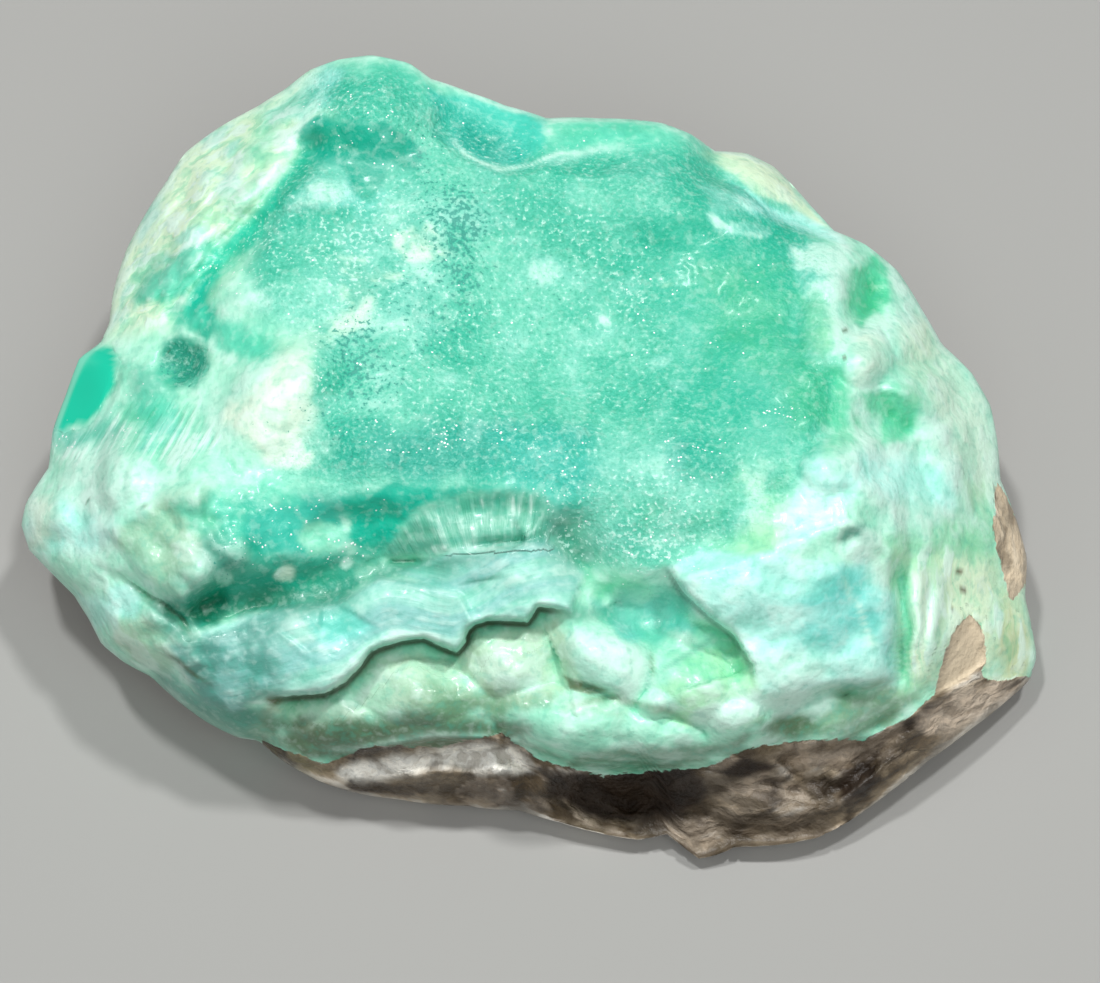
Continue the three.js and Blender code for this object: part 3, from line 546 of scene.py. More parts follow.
def stone_points(direction):
    """The stone's surface for each direction of a ball whose front is the display side."""
    share = (1 - direction[:, 2]) / 2
    front = share < FRONT_SHARE
    s = np.sqrt(np.where(front, share / FRONT_SHARE, (1 - share) / (1 - FRONT_SHARE)))
    s = np.where(np.abs(share - FRONT_SHARE) < RIM_SNAP, 1, np.clip(s, 0, 1))
    angle = np.arctan2(direction[:, 1], direction[:, 0])
    radius, rim_height = rim_at(angle)
    u = CENTRE[0] + s * radius * np.cos(angle)
    v = CENTRE[1] + s * radius * np.sin(angle)
    rim_depth = depth_of(rim_height, v)
    hidden = place(u, v, rim_depth - HIDDEN_DEPTH * np.sqrt(np.maximum(1 - s * s, 0)))
    height = display_height(u, v) + 0.5 * roughness(u, v, np.zeros(np.shape(u)), 6)
    shown = mix(rim_depth, depth_of(height, v), np.sqrt(1 - s ** RIM_POWER))
    relief = (knob_relief(u, v) + fine_relief(u, v)) * (1 - 0.95 * in_region(GLASSY_FACE, u, v, 0.5))
    shown = shown + relief * (1 - s ** 40)
    return np.where(front[:, None], place(u, v, shown), broken(hidden, s))


def broken(points, s):
    """The hidden side broken to rough faces, and left as it is at the rim, where s is 1."""
    inward = 1 - s ** 10
    for normal, reach in FRACTURES:
        normal = np.array(normal) / math.hypot(*normal)
        excess = np.maximum(points @ normal - reach, 0) * inward
        points = points - 0.92 * excess[:, None] * normal
    away = points - np.array(CORE)
    away = away / np.linalg.norm(away, axis=1)[:, None]
    x, y, z = points.T
    rough = 3.2 * (facets(x, y, z, 15) - 0.5) + 1.5 * (facets(x, y, z, 6.5) - 0.5)
    return points + (inward * rough)[:, None] * away


# ---- The stone's skin ----
def ball_directions(points):
    """Directions of a divided cube's vertices, evened out over the ball."""
    even = np.tan(points * (math.pi / 4))
    return even / np.linalg.norm(even, axis=1)[:, None]


def coordinates(mesh):
    flat = np.empty(len(mesh.vertices) * 3, dtype=np.float64)
    mesh.vertices.foreach_get("co", flat)
    return flat.reshape(-1, 3)


def ball_mesh():
    """A cube divided so finely that its vertices can be moved out to the stone's surface."""
    bm = bmesh.new()
    bmesh.ops.create_cube(bm, size=2)
    bmesh.ops.subdivide_edges(bm, edges=bm.edges[:], cuts=SKIN_CUTS, use_grid_fill=True)
    mesh = bpy.data.meshes.new("smithsonite_stone")
    bm.to_mesh(mesh)
    bm.free()
    return mesh


def drop_scraps(bm):
    """The cut can leave a scrap of skin on its own below the stone: only what hangs on the top stays."""
    body, reach = set(), [max(bm.verts, key=lambda vert: vert.co.z)]
    while reach:
        vert = reach.pop()
        if vert not in body:
            body.add(vert)
            reach.extend(edge.other_vert(vert) for edge in vert.link_edges)
    bmesh.ops.delete(bm, geom=[vert for vert in bm.verts if vert not in body], context="VERTS")


def cut_base(mesh):
    """Cuts the skin off flat where the stone rests, and closes it."""
    bm = bmesh.new()
    bm.from_mesh(mesh)
    bmesh.ops.bisect_plane(bm, geom=bm.verts[:] + bm.edges[:] + bm.faces[:], dist=1e-7,
                           plane_co=(0, 0, 0), plane_no=(0, 0, 1), clear_inner=True)
    drop_scraps(bm)
    rim = [edge for edge in bm.edges if edge.is_boundary]
    bmesh.ops.contextual_create(bm, geom=rim)
    bmesh.ops.triangulate(bm, faces=[face for face in bm.faces if len(face.verts) > 4])
    bmesh.ops.recalc_face_normals(bm, faces=bm.faces[:])
    bm.to_mesh(mesh)
    bm.free()


def make_stone():
    """The stone, how far it was moved (mm) to stand over the frame's middle and how much it was shrunk."""
    mesh = ball_mesh()
    directions = ball_directions(coordinates(mesh))
    points = stone_points(directions)
    front = ((1 - directions[:, 2]) / 2 < FRONT_SHARE).astype(float)
    mesh.attributes.new("front", "FLOAT", "POINT").data.foreach_set("value", front)
    low, high = points.min(axis=0), points.max(axis=0)
    shift = np.array([-(low[0] + high[0]) / 2, -(low[1] + high[1]) / 2, 0])
    own = np.maximum(np.abs(points + shift).max(axis=0), 1)
    room = np.array(list(bounds_before[1])) / MM
    fit = np.minimum(1, (room - BOX_ROOM) / own)
    mesh.vertices.foreach_set("co", ((points + shift) * fit * MM).ravel())
    mesh.update()
    cut_base(mesh)
    for polygon in mesh.polygons:
        polygon.use_smooth = True
    stone = bpy.data.objects.new("smithsonite_stone", mesh)
    bpy.context.scene.collection.objects.link(stone)
    return stone, shift, fit


stone, SHIFT, FIT = make_stone()


# ---- Colours painted on the skin ----
def linear(red, green, blue):
    """A colour given in screen values, 0 to 255, as linear light."""
    parts = np.array([red, green, blue]) / 255
    return np.where(parts <= 0.04045, parts / 12.92, ((parts + 0.055) / 1.055) ** 2.4)


PALETTE = {
    "mint": linear(176, 242, 214), "foam": linear(146, 228, 196), "seafoam": linear(116, 200, 172),
    "teal": linear(84, 208, 174), "fern": linear(84, 206, 158), "jade": linear(30, 200, 164),
    "turquoise": linear(26, 184, 160), "lagoon": linear(74, 212, 190), "deep": linear(16, 158, 130),
    "emerald": linear(0, 184, 154), "pool": linear(8, 112, 88), "aqua": linear(122, 220, 208),
    "ice": linear(186, 250, 236), "mist": linear(158, 210, 204), "frost": linear(202, 246, 228),
    "cream": linear(224, 248, 226), "butter": linear(226, 250, 214), "lime": linear(180, 240, 194),
    "leaf": linear(144, 222, 176), "pistachio": linear(192, 226, 196), "sage": linear(162, 206, 176),
    "thyme": linear(122, 162, 126), "slate": linear(72, 150, 130), "moss": linear(70, 90, 54),
    "olive": linear(84, 88, 36), "straw": linear(206, 212, 160), "chalk": linear(238, 238, 230),
    "silver": linear(190, 176, 158), "tan": linear(216, 200, 172), "brown": linear(104, 90, 68),
    "umber": linear(34, 24, 16), "glacier": linear(142, 206, 198), "dusk": linear(88, 156, 144),
}

# What deepens the colour: painted shade in the wide hollows and in the creases, and the darker tone of the
# drusy basin.
HOLLOW_SHADE, CREASE_SHADE, BASIN_TINT = (0.4, 0.82, 0.7), (0.42, 0.72, 0.62), (0.43, 0.76, 0.76)

# Areas of colour, laid one over another: name, strength, softness of the edge, and outline.
AREAS = [
    ("teal", 0.8, 3, [(1, 26.1), (9, 29.6), (15, 30.1), (24, 25.6), (26.2, 19.1), (29.5, 11.2), (29.5, 6.2),
        (25, 5.2), (19, 4.2), (14, 5.2), (9, 2.1), (5, 4.2), (8, 9.2), (15, 11.2), (10, 16.1), (5, 20.1)]),
    ("fern", 0.8, 2.5, [(15, 23.6), (24.5, 23.1), (25.5, 16.1), (29.5, 12.2), (29.5, 7.2), (25, 6.2),
        (22, 11.2), (17, 14.2), (15, 19.1)]),
    ("turquoise", 0.9, 2, [(-22, 6.2), (-15, 6.7), (-8, 7.7), (1, 6.7), (9, 5.2), (15, 5.2), (19, 2.1),
        (13, 0.1), (5, 0.1), (1, -2.9), (-0.5, -1.4), (-8, 1.1), (-15, 0.1), (-16, 1.1), (-20, 1.1),
        (-22, 2.1)]),
    ("lagoon", 0.7, 2.5, [(-5, 5.2), (5, 5.2), (5, -0.8), (2, -1.9), (-1, -0.8), (-5, 2.1)]),
    ("foam", 0.9, 2, [(5, 7.7), (11.5, 7.2), (12, 2.1), (19, 1.1), (20, -2.9), (17, -4.8), (15, -5.8),
        (9, -7.8), (4, -6.8), (2.5, -3.9), (5, 1.1)]),
    ("frost", 0.5, 2, [(6, 4), (12, 3), (18, -1), (18, -5), (10, -7), (4, -5), (4, 0)]),
    ("fern", 0.5, 2, [(6, -0.3), (19, -0.8), (18.5, -4.8), (10, -5.3), (5, -2.9)]),
    ("fern", 0.9, 1.4, [(2.5, -5.8), (5, -8.1), (9.5, -9.8), (5, -11.1), (2.2, -8.8)]),
    ("lime", 0.85, 2.2, [(19.5, 1.6), (24, 2.1), (25, -6.8), (22, -9.8), (17, -5.3), (20, -2.9)]),
    ("frost", 0.6, 1, [(20, 2.1), (22.8, 2.1), (21.5, -1.9), (18.5, -4.8), (16, -5.3), (17.2, -3.4),
        (19.5, -1.4)]),
    ("frost", 0.5, 3, [(-16, 32.1), (-11, 29.1), (-11, 19.1), (-19, 13.2), (-24, 14.2), (-25, 19.1),
        (-22, 26.1), (-25, 26.6), (-28, 25.1), (-30, 25.1), (-28.5, 27.6), (-26, 31.1), (-21, 33.1)]),
    ("foam", 0.8, 2, [(-33.5, 20.1), (-30, 23.6), (-25, 26.1), (-22, 25.1), (-22, 21.1), (-26, 16.1),
        (-31, 15.2), (-33.5, 16.1)]),
    ("teal", 0.7, 1.5, [(-28.5, 25.1), (-25, 25.1), (-24.5, 22.6), (-27, 21.1), (-29.2, 22.4)]),
    ("frost", 0.85, 1.4, [(-32.5, 21.1), (-30, 21.6), (-28.5, 19.1), (-31, 17.6), (-32.8, 18.6)]),
    ("frost", 0.8, 1, [(-26, 30.6), (-23.5, 31.9), (-20.5, 30.6), (-20, 28.9), (-25, 28.6), (-28, 28.6)]),
    ("ice", 0.7, 1, [(-21.5, 31.1), (-18, 32.1), (-16.5, 30.1), (-18.5, 28.1), (-21.5, 28.4)]),
    ("cream", 1, 0.5, [(-15.5, 26.4), (-12.5, 26.9), (-11, 25.1), (-9.5, 24.1), (-12, 22.9), (-14.5, 23.6),
        (-16, 24.6)]),
    ("cream", 0.95, 0.9, [(-21, 23.1), (-18.5, 23.6), (-17.8, 19.1), (-19.5, 16.1), (-22.5, 14.7),
        (-25, 14.7), (-24, 16.6), (-20, 18.1), (-20.5, 20.6)]),
    ("frost", 0.8, 2, [(-40, 7.2), (-31, 11.2), (-30, 3.1), (-33.5, 1.1), (-38, 4.2)]),
    ("cream", 1, 1, [(-27, 14.4), (-24, 15), (-23.8, 12), (-24.6, 9.6), (-23.4, 6.4), (-22, 4), (-25, 2),
        (-29, 2.6), (-32.5, 6.6), (-33, 8.6), (-30, 9.6), (-28.6, 11.6)]),
    ("teal", 0.8, 1, [(-33.8, 15.9), (-29.5, 16.6), (-28.8, 14.7), (-31, 13.9), (-33.5, 14.3)]),
    ("jade", 0.9, 0.7, [(-25, 34.1), (-20.5, 34.4), (-25, 31.6), (-27.5, 27.6), (-29.5, 25.1),
        (-32.5, 23.6), (-34.5, 20.1), (-33.8, 16.6), (-34.5, 14.7), (-36, 16.6), (-37.2, 17.6),
        (-36.2, 20.1), (-34, 22.9), (-30.5, 26.6), (-28.8, 29.6), (-26, 33.1)]),
    ("deep", 0.9, 0.6, [(-36.2, 20.1), (-34.5, 20.1), (-33.8, 16.6), (-34.5, 14.7), (-36, 16.4),
        (-37.2, 17.6)]),
    ("jade", 0.8, 0.6, [(-28.8, 27.1), (-25, 28.1), (-20.5, 27.8), (-19.5, 26.9), (-25, 26.6),
        (-28.8, 25.9)]),
    ("teal", 0.9, 0.4, [(-37, 24.9), (-38.5, 22.9), (-40.5, 22.1), (-41.5, 20.1), (-41.6, 18.8),
        (-38, 19.1), (-36, 20.6), (-34.5, 22.9), (-35, 24.6)]),
    ("teal", 0.85, 1.5, [(-22.5, 43.1), (-15, 44), (-12.5, 41.6), (-11, 39.1), (-15, 36.1), (-22, 37.1),
        (-22.8, 40.6)]),
    ("ice", 0.8, 1.2, [(-28.8, 38.6), (-24.5, 42.4), (-21.2, 43), (-22.5, 39.1), (-25, 36.1), (-26.5, 34.1),
        (-26, 37.1), (-28, 37.6)]),
    ("emerald", 1, 0.5, [(-25, 34), (-25.2, 36.4), (-23.5, 37.9), (-21.5, 37.7), (-20, 37), (-18.5, 36.8),
        (-17, 37), (-15.5, 36.1), (-14, 35.4), (-13, 34.2), (-13.8, 33), (-15.2, 33.8), (-16.5, 33.9),
        (-17.2, 32.6), (-17.6, 30.8), (-18.8, 30.6), (-20, 32.2), (-21.5, 33.1), (-23.2, 33.4)]),
    ("lagoon", 0.9, 0.6, [(-12.5, 41.1), (-5, 39.1), (-0.5, 37.6), (-0.5, 34.6), (-3, 33.1), (-7, 33.4),
        (-9.5, 34.6), (-11, 36.6)]),
    ("turquoise", 0.8, 1, [(-11.5, 38.1), (-9, 37.6), (-5, 36.1), (-5, 34.1), (-8.5, 34.6), (-10.8, 36.6)]),
    ("teal", 0.8, 1, [(0, 37.6), (5, 37.9), (11, 37.4), (10.5, 34.4), (5, 33.4), (-1, 32.6), (-2.5, 33.1),
        (-0.5, 35.1)]),
    ("jade", 0.65, 2, [(11, 34.1), (15, 34.1), (19, 29.6), (25, 26.6), (27, 25.1), (24, 23.1), (19, 24.1),
        (9, 22.1), (5, 23.1), (11, 29.1)]),
    ("frost", 1, 0.3, [(15.8, 28.1), (18, 27.1), (20.2, 27.1), (22, 26.4), (21.2, 25.8), (19, 25.9),
        (16.8, 26.1)]),
    ("frost", 0.85, 0.7, [(9.8, 32.4), (11, 34.4), (12.4, 33.1), (11.6, 30.9), (10, 30.6)]),
    ("butter", 0.95, 0.4, [(15.5, 34.1), (19.5, 34.6), (22.8, 33.5), (25.3, 30.1), (28.4, 26.4), (25, 28.6),
        (21, 29.6), (18.5, 32.1)]),
    ("ice", 0.95, 0.4, [(17.8, 31.9), (21, 29.6), (25, 28.1), (29, 26.1), (29.8, 25.1), (25, 26.4),
        (20.5, 27.9), (18.5, 29.6)]),
    ("frost", 0.9, 1.5, [(33, 24.6), (39, 20.1), (42, 14.2), (45, 7.2), (46, 1.1), (44, -5.8), (35, -4.8),
        (30, 2.1), (30, 15.2), (34.5, 18.1)]),
    ("foam", 0.7, 1.5, [(35, 19.1), (38.5, 16.1), (40, 9.2), (38, 4.2), (35, 6.2), (33, 14.2)]),
    ("frost", 0.95, 0.6, [(24.5, 24.6), (30, 25.1), (30.6, 22.9), (29.6, 19.1), (29.8, 16.1), (30.2, 14.2),
        (28, 12.6), (26.2, 13.7), (26.5, 17.1), (25.5, 20.1), (24.8, 22.4)]),
    ("fern", 0.95, 0.5, [(30.2, 22.6), (33, 24.1), (34.7, 21.1), (33.7, 18.1), (31.2, 16.4), (30, 19.1)]),
    ("fern", 0.9, 1, [(25, 11.9), (29.5, 12.6), (30, 9.2), (29.7, 6.2), (26, 6.7), (24.5, 9.7)]),
    ("fern", 0.85, 0.6, [(31.5, 9.7), (35, 10.7), (37.7, 9.2), (37, 6.2), (34.3, 4.7), (33.3, 4.2),
        (33.5, 7.2), (31.8, 8.2)]),
    ("ice", 0.95, 1.2, [(25.5, 2.6), (30, 4.2), (35, 3.6), (41, 2.1), (41, -1.9), (35, -0.8), (32, 0.1),
        (30, -0.8), (26, -5.8), (23.5, -7.3), (25, -0.8)]),
    ("frost", 0.95, 0.8, [(30.5, -3.6), (34, -4.6), (35, -8), (34.4, -11), (32, -9.4), (30.6, -7)]),
    ("slate", 0.8, 0.3, [(29.2, -5), (30, -3.8), (31.9, -3.5), (31.3, -4.8), (29.9, -5.5)]),
    ("leaf", 0.8, 1.4, [(34, -5.3), (41, -2.9), (45, -6.3), (45, -8.3), (35.5, -6.8), (34.5, -10.8),
        (33.5, -7.8)]),
    ("ice", 1, 0.5, [(11.9, -8.2), (15, -6), (18, -6.7), (25, -6.8), (31, -7.8), (35, -10.8), (35, -19.9),
        (29, -19.6), (24, -21.4), (21.2, -20.4), (20.2, -17.4), (18, -14.8), (15, -13.3), (13, -11.3)]),
    ("aqua", 0.75, 1.3, [(24.5, -12.4), (30, -8.8), (31, -14.8), (31.5, -16.4), (26.2, -17.1),
        (24.5, -14.8), (25, -12.8)]),
    ("aqua", 0.55, 1, [(31, -10.8), (34.5, -10.8), (34.7, -18.9), (32, -14.8)]),
    ("frost", 0.9, 0.4, [(30.3, -12.7), (32, -13.3), (33.1, -16.1), (31.8, -16.1)]),
    ("frost", 0.9, 0.6, [(31.2, -7.3), (33.5, -8.8), (34.2, -11.1), (32, -9.8)]),
    ("frost", 0.8, 1.4, [(18.5, -16.4), (25, -16.4), (30, -17.4), (34, -19.6), (27, -19.9), (23, -21.4),
        (21.2, -19.9)]),
    # painted shade under the brow of the right mass, in this row and the next
    ("thyme", 0.85, 1, [(23.5, -22.1), (28, -20.1), (35, -19.9), (38.7, -20.9), (35, -23.4), (31, -25.4),
        (25, -25.6), (22, -24.6), (22, -23.1)]),
    ("moss", 0.7, 0.8, [(21.2, -23.6), (25, -22.4), (26.6, -23.4), (25, -25.6), (21.8, -25.6)]),
    ("lime", 0.95, 1, [(35.3, -6.8), (39.5, -6.3), (40.2, -10.8), (39.6, -15.8), (38.6, -20.9),
        (35.3, -20.6), (35.5, -14.8)]),
    ("frost", 0.9, 0.3, [(35.3, -8.3), (36.3, -10.8), (35.6, -15.1), (35.1, -12.8)]),
    ("butter", 0.95, 1.3, [(39.5, -7.3), (45, -6.8), (46, -10.8), (45, -12.8), (44, -16.9), (45, -19.9),
        (42.5, -19.9), (40.5, -15.8), (39.5, -19.9), (38.5, -20.4), (39.5, -14.8)]),
    ("straw", 0.8, 1.2, [(45.5, -10.8), (47.5, -11.8), (49.2, -15.8), (48, -19.9), (45.2, -19.9),
        (45.2, -14.8)]),
    ("seafoam", 0.95, 0.7, [(-16.5, -5.3), (-14, -3), (-11, -1.4), (-7, -0.3), (-1, -0.6), (0, -2.9),
        (-0.3, -5.7), (-9, -5.8), (-11, -6.8), (-17, -7.2), (-20.5, -7), (-19, -5.7)]),
    ("slate", 0.7, 0.6, [(-21.5, -7.5), (-11, -6.8), (-9.8, -8.6), (-15, -9.2), (-20, -8.4)]),
    ("turquoise", 0.95, 1.2, [(-34.5, -0.8), (-25, -0.3), (-20, -0.8), (-20.5, -4.8), (-20.5, -7),
        (-25, -7.6), (-30, -7.4), (-34.2, -5)]),
    ("emerald", 0.9, 0.8, [(-15.8, 1.6), (-13, 0.1), (-5, 1.1), (-5, -0.1), (-10, -1.1), (-13.8, -2.4),
        (-14.6, -4), (-15.5, -5.7), (-20, -6.2), (-20.7, -4.3), (-20, -1.4), (-18, -0.8), (-16.5, 0.1)]),
    ("foam", 0.85, 0.5, [(-25, -2.9), (-20.5, -3.9), (-20, -6.3), (-24, -6.8), (-25.4, -5.3)]),
    ("deep", 0.9, 1, [(-38.5, -11.2), (-34.5, -9.3), (-33.5, -6.8), (-30, -5.7), (-25, -6.8), (-20.5, -7.5),
        (-20, -9.8), (-25, -11.1), (-33.5, -12.1), (-36, -12.8), (-38.2, -12.8)]),
    ("pool", 0.9, 0.5, [(-38.8, -11.4), (-36, -10.6), (-35, -11.2), (-36.5, -13.1), (-38.5, -13.1)]),
    ("ice", 0.95, 0.3, [(-20, -10.7), (-15, -8.8), (-9.5, -9.8), (-8.2, -12.1), (-8.8, -14.8),
        (-9.5, -15.8), (-12.5, -14.8), (-15, -15.7), (-18, -15.8), (-20.5, -18.9), (-23, -20.6),
        (-28, -20.9), (-31.5, -19.1), (-35.5, -16.4), (-35, -14.8), (-31.5, -12.8), (-26, -11.7)]),
    ("mist", 0.7, 1.4, [(-34.5, -14.8), (-31, -13.3), (-25, -14.8), (-22.8, -16.9), (-26, -19.9),
        (-30, -19.9), (-33.5, -17.4)]),
    ("frost", 0.95, 0.3, [(-9.5, -10.1), (-3, -8.8), (-0.1, -5.7), (1.6, -7.8), (3.2, -10.1), (2.2, -12.2),
        (-1, -12.2), (-1.5, -13.4), (-5, -13.4), (-6.5, -12.8), (-8.2, -13.4), (-8.5, -14.8)]),
    ("pistachio", 0.9, 0.8, [(-22, -19.9), (-18, -16.4), (-13, -16.4), (-9, -17.9), (-8, -20.4),
        (-12, -22.1), (-17, -22.4), (-23, -24.6), (-26, -24.1), (-28.5, -22.1)]),
    ("pistachio", 0.9, 0.6, [(-8, -14.8), (-5, -14.3), (1, -12.8), (2.5, -15.8), (4.2, -18.9), (1, -20.9),
        (-3, -21.9), (-8, -20.1), (-9.5, -17.9)]),
    ("frost", 0.7, 0.6, [(-5, -18.9), (-1, -18.4), (-0.5, -20.9), (-3, -21.6), (-5.2, -20.6)]),
    # painted shade under the lower lumps at the front
    ("moss", 0.8, 1.1, [(-28, -25.1), (-22, -23.1), (-13, -22.4), (-6.5, -22.4), (-3.8, -24.9), (-7, -26.4),
        (-15, -26.9), (-22, -27.6), (-25, -27.1)]),
    ("frost", 0.95, 0.4, [(1.5, -14.8), (4.2, -12.8), (10.2, -15.8), (10.7, -19.9), (7, -21.1), (4, -20.4),
        (2, -17.1)]),
    ("aqua", 0.95, 0.8, [(3.8, -11.2), (7.5, -12.1), (10, -10.8), (12.2, -9.4), (14, -12.8), (15.2, -14.4),
        (11, -15.6), (7.5, -14.9), (5, -12.8)]),
    ("fern", 0.5, 0.8, [(-2, -26.1), (4, -27.2), (11, -27.2), (9, -28.6), (1, -28.1)]),
    ("lime", 0.9, 0.6, [(11, -19.9), (14, -17.1), (18.5, -15.7), (21.2, -19.9), (21.6, -23.1), (18, -24.6),
        (14, -24.1), (10.5, -22.6)]),
    ("frost", 0.9, 0.4, [(14, -23.4), (17, -21.4), (21, -20.9), (21.6, -22.4), (19, -24.4), (15, -24.8)]),
    ("frost", 0.9, 0.4, [(9.9, -21.1), (12, -20.2), (13.6, -22.4), (11.5, -23.2)]),
    ("olive", 0.9, 0.25, [(1.3, -18.9), (3.5, -19.8), (5.6, -20.4), (4, -20.9), (2, -20.1)]),
    ("olive", 0.9, 0.3, [(-28.8, -21.1), (-27.8, -20.8), (-26.8, -21.1), (-27.6, -21.8), (-28.6, -21.6)]),
    ("frost", 0.85, 1.5, [(-50, 6.2), (-45, 9.2), (-38, 9.2), (-33.5, 4.2), (-35, 1.1), (-40, 2.1),
        (-49, 1.1)]),
    ("ice", 0.95, 1, [(-54, -2.9), (-50.5, -0.8), (-45, 0.3), (-43.3, -3.9), (-46, -6.8), (-50, -6.5),
        (-53, -5.7)]),
    ("sage", 0.85, 0.8, [(-43.5, -3.9), (-39, -0.8), (-35, 0.1), (-33, -3.9), (-35, -6.8), (-37, -10.8),
        (-40, -9.3), (-43.5, -5.8)]),
    ("frost", 0.6, 0.6, [(-35, -4.8), (-33.4, -6), (-34.5, -8.1), (-36, -6.8)]),
    ("mint", 0.8, 0.8, [(-50.5, -6.5), (-43, -6.8), (-40, -9.8), (-44, -12.8), (-47.5, -12.1)]),
    ("ice", 0.95, 0.3, [(-44.7, -9.8), (-42.5, -9.2), (-40.9, -10.8), (-41.9, -13.4), (-44.6, -12.4)]),
    ("pistachio", 0.9, 0.4, [(-43.7, -13.4), (-40, -12.8), (-39.4, -15.3), (-41.5, -17.1), (-44.4, -15.6)]),
    ("olive", 0.8, 0.3, [(-42.2, -15.7), (-41.5, -15.3), (-40.8, -16.4), (-41.7, -16.4)]),
    ("frost", 0.9, 0.3, [(-40, -14.8), (-37.5, -16.4), (-34.8, -19.9), (-38, -19.9), (-41, -17.4)]),
    ("mist", 0.8, 0.5, [(-39, -19.9), (-32, -20.9), (-29.5, -24.4), (-35.5, -22.6)]),
    # painted shade along the lower left front
    ("moss", 0.6, 0.8, [(-42, -19.2), (-38, -20.6), (-34, -21.8), (-29, -22.2), (-26, -23.6), (-28, -25.8),
        (-33, -25.4), (-38, -22.6)]),
    ("jade", 1, 0.35, GLASSY_FACE),
    ("emerald", 1, 0.5, EMERALD),
    ("emerald", 1, 0.6, LIP_EMERALD),
    ("deep", 1, 0.4, [(-38.5, -11.6), (-34.5, -9.8), (-31, -8.6), (-27, -8.8), (-21, -8.8), (-18.6, -9.4),
        (-21, -11), (-26, -11.7), (-31.4, -12.8), (-35.6, -14), (-38.4, -13)]),
    ("pool", 0.6, 0.8, [(-38, -12), (-34, -10.6), (-29, -10), (-24, -10.2), (-26, -11.4), (-31.4, -12.6),
        (-36, -13.6)]),
    ("turquoise", 0.55, 1, [(-12, 40.6), (-5, 38.8), (-1, 37), (-1, 35), (-3, 33.8), (-7, 34), (-9.5, 35),
        (-11, 37)]),
    ("teal", 0.85, 1.5, [(3, 36.6), (12, 36.4), (16, 33.6), (17.6, 31.2), (12, 30.4), (4, 31.4),
        (0, 33.2)]),
    ("foam", 0.6, 2, [(-31, 17.5), (-24, 18.5), (-21, 15.6), (-24, 13.8), (-31, 14)]),
    ("cream", 0.7, 0.8, [(30.6, 15.6), (33.4, 15.4), (34, 12), (31, 11)]),
    ("cream", 0.6, 0.8, [(35, 17.4), (38, 17), (39, 14), (36, 12.6), (34.4, 14.6)]),
    ("frost", 0.8, 0.6, [(27.6, 6.4), (30.6, 6), (31, 2.6), (28, 1.6)]),
    ("frost", 0.95, 1, [(-47.4, 2), (-41, 3), (-39.6, 0.4), (-41, -2.6), (-45, -3.2), (-49, -0.6)]),
    # painted shade under the lower plate
    ("thyme", 0.6, 0.8, [(-15, -20), (-10, -19.6), (-7.5, -20.6), (-5, -22.4), (-9, -23), (-14, -22.6)]),
    ("frost", 0.3, 1, [(-24, -21.6), (-20, -19.4), (-15.4, -18.6), (-15, -21.4), (-18, -22.4),
        (-24, -23.4)]),
    ("sage", 0.4, 1, [(-19, -19.4), (-13, -18.2), (-11, -20), (-13, -21.6), (-18, -21.4)]),
    ("sage", 0.5, 0.8, [(0, -20.6), (7, -20.6), (8, -23), (1, -23.4)]),
    # painted shade along the lower front
    ("moss", 0.55, 0.8, [(-29, -23.6), (-24, -24), (-18, -23.6), (-12, -24), (-5, -24), (-3.6, -25.2),
        (-7, -26.2), (-15, -26.8), (-22, -27.8), (-28, -26.4)]),
    # painted shade on the curved underside over the dark cavity
    ("moss", 0.65, 0.6, [(2, -26.6), (8, -26.4), (14, -26), (20, -24.8), (20, -27), (12, -28), (2, -28)]),
    ("foam", 0.75, 1, [(-43.4, 8.6), (-37, 9), (-34.4, 6), (-35.4, 1.4), (-42, 0.8), (-43, 4)]),
    ("aqua", 0.5, 0.8, [(-41, 8), (-37.6, 8.4), (-37.4, 5.4), (-41, 4.4)]),
    ("sage", 0.6, 0.9, [(-40, -3.6), (-36, -2.6), (-34.4, -5.4), (-36, -8.4), (-39.4, -8)]),
    ("foam", 0.7, 1.2, [(-31, 32.4), (-27.4, 34.6), (-25.6, 37.4), (-23.6, 40.6), (-26.4, 40.4),
        (-29.6, 36), (-32.6, 31)]),
    ("mint", 0.7, 0.8, [(-33, 30), (-29, 32.6), (-28.4, 29.6), (-32, 27)]),
    ("sage", 0.8, 0.8, [(-43.6, -13.4), (-40, -13.4), (-37, -16.4), (-38.6, -18.4), (-42.4, -17.4)]),
    ("teal", 0.5, 0.8, [(4, -11.6), (9, -11.4), (9.6, -13.6), (5, -14.4)]),
    ("aqua", 0.9, 1.2, [(27, -8.6), (31.5, -8), (34, -11), (33.4, -14.6), (29, -15.4), (26.4, -12)]),
    ("frost", 0.8, 1, [(38.6, 12), (41.6, 12.4), (43.4, 8.4), (42.6, 4.6), (39.6, 5)]),
    # painted shade at the lower left bottom
    ("slate", 0.8, 0.8, [(-40.4, -18.4), (-36, -19.2), (-32, -20.6), (-29.6, -22.2), (-30.4, -25),
        (-35, -24), (-39, -21.4)]),
    ("cream", 0.9, 0.5, [(-19.4, 21.6), (-16.6, 22.6), (-14.8, 21.8), (-17, 20.4)]),
    ("teal", 0.5, 0.5, [(-42, 23.4), (-39, 24.4), (-35.4, 24.8), (-34.6, 22.4), (-36.6, 19.8), (-40.4, 19),
        (-42.4, 20.4)]),
    ("teal", 0.7, 0.9, [(-38, -1.6), (-33, -0.6), (-30, -2), (-31, -5.6), (-34, -6.6)]),
    ("deep", 0.9, 0.5, [(-39, 15.2), (-37.2, 16.1), (-35, 14.7), (-34.4, 12.7), (-36, 11.2), (-37.8, 10.1),
        (-39.3, 11.3)]),
    ("cream", 0.8, 0.8, [(35.8, -8), (38.4, -8), (38.6, -14), (38.2, -18.5), (36, -19)]),
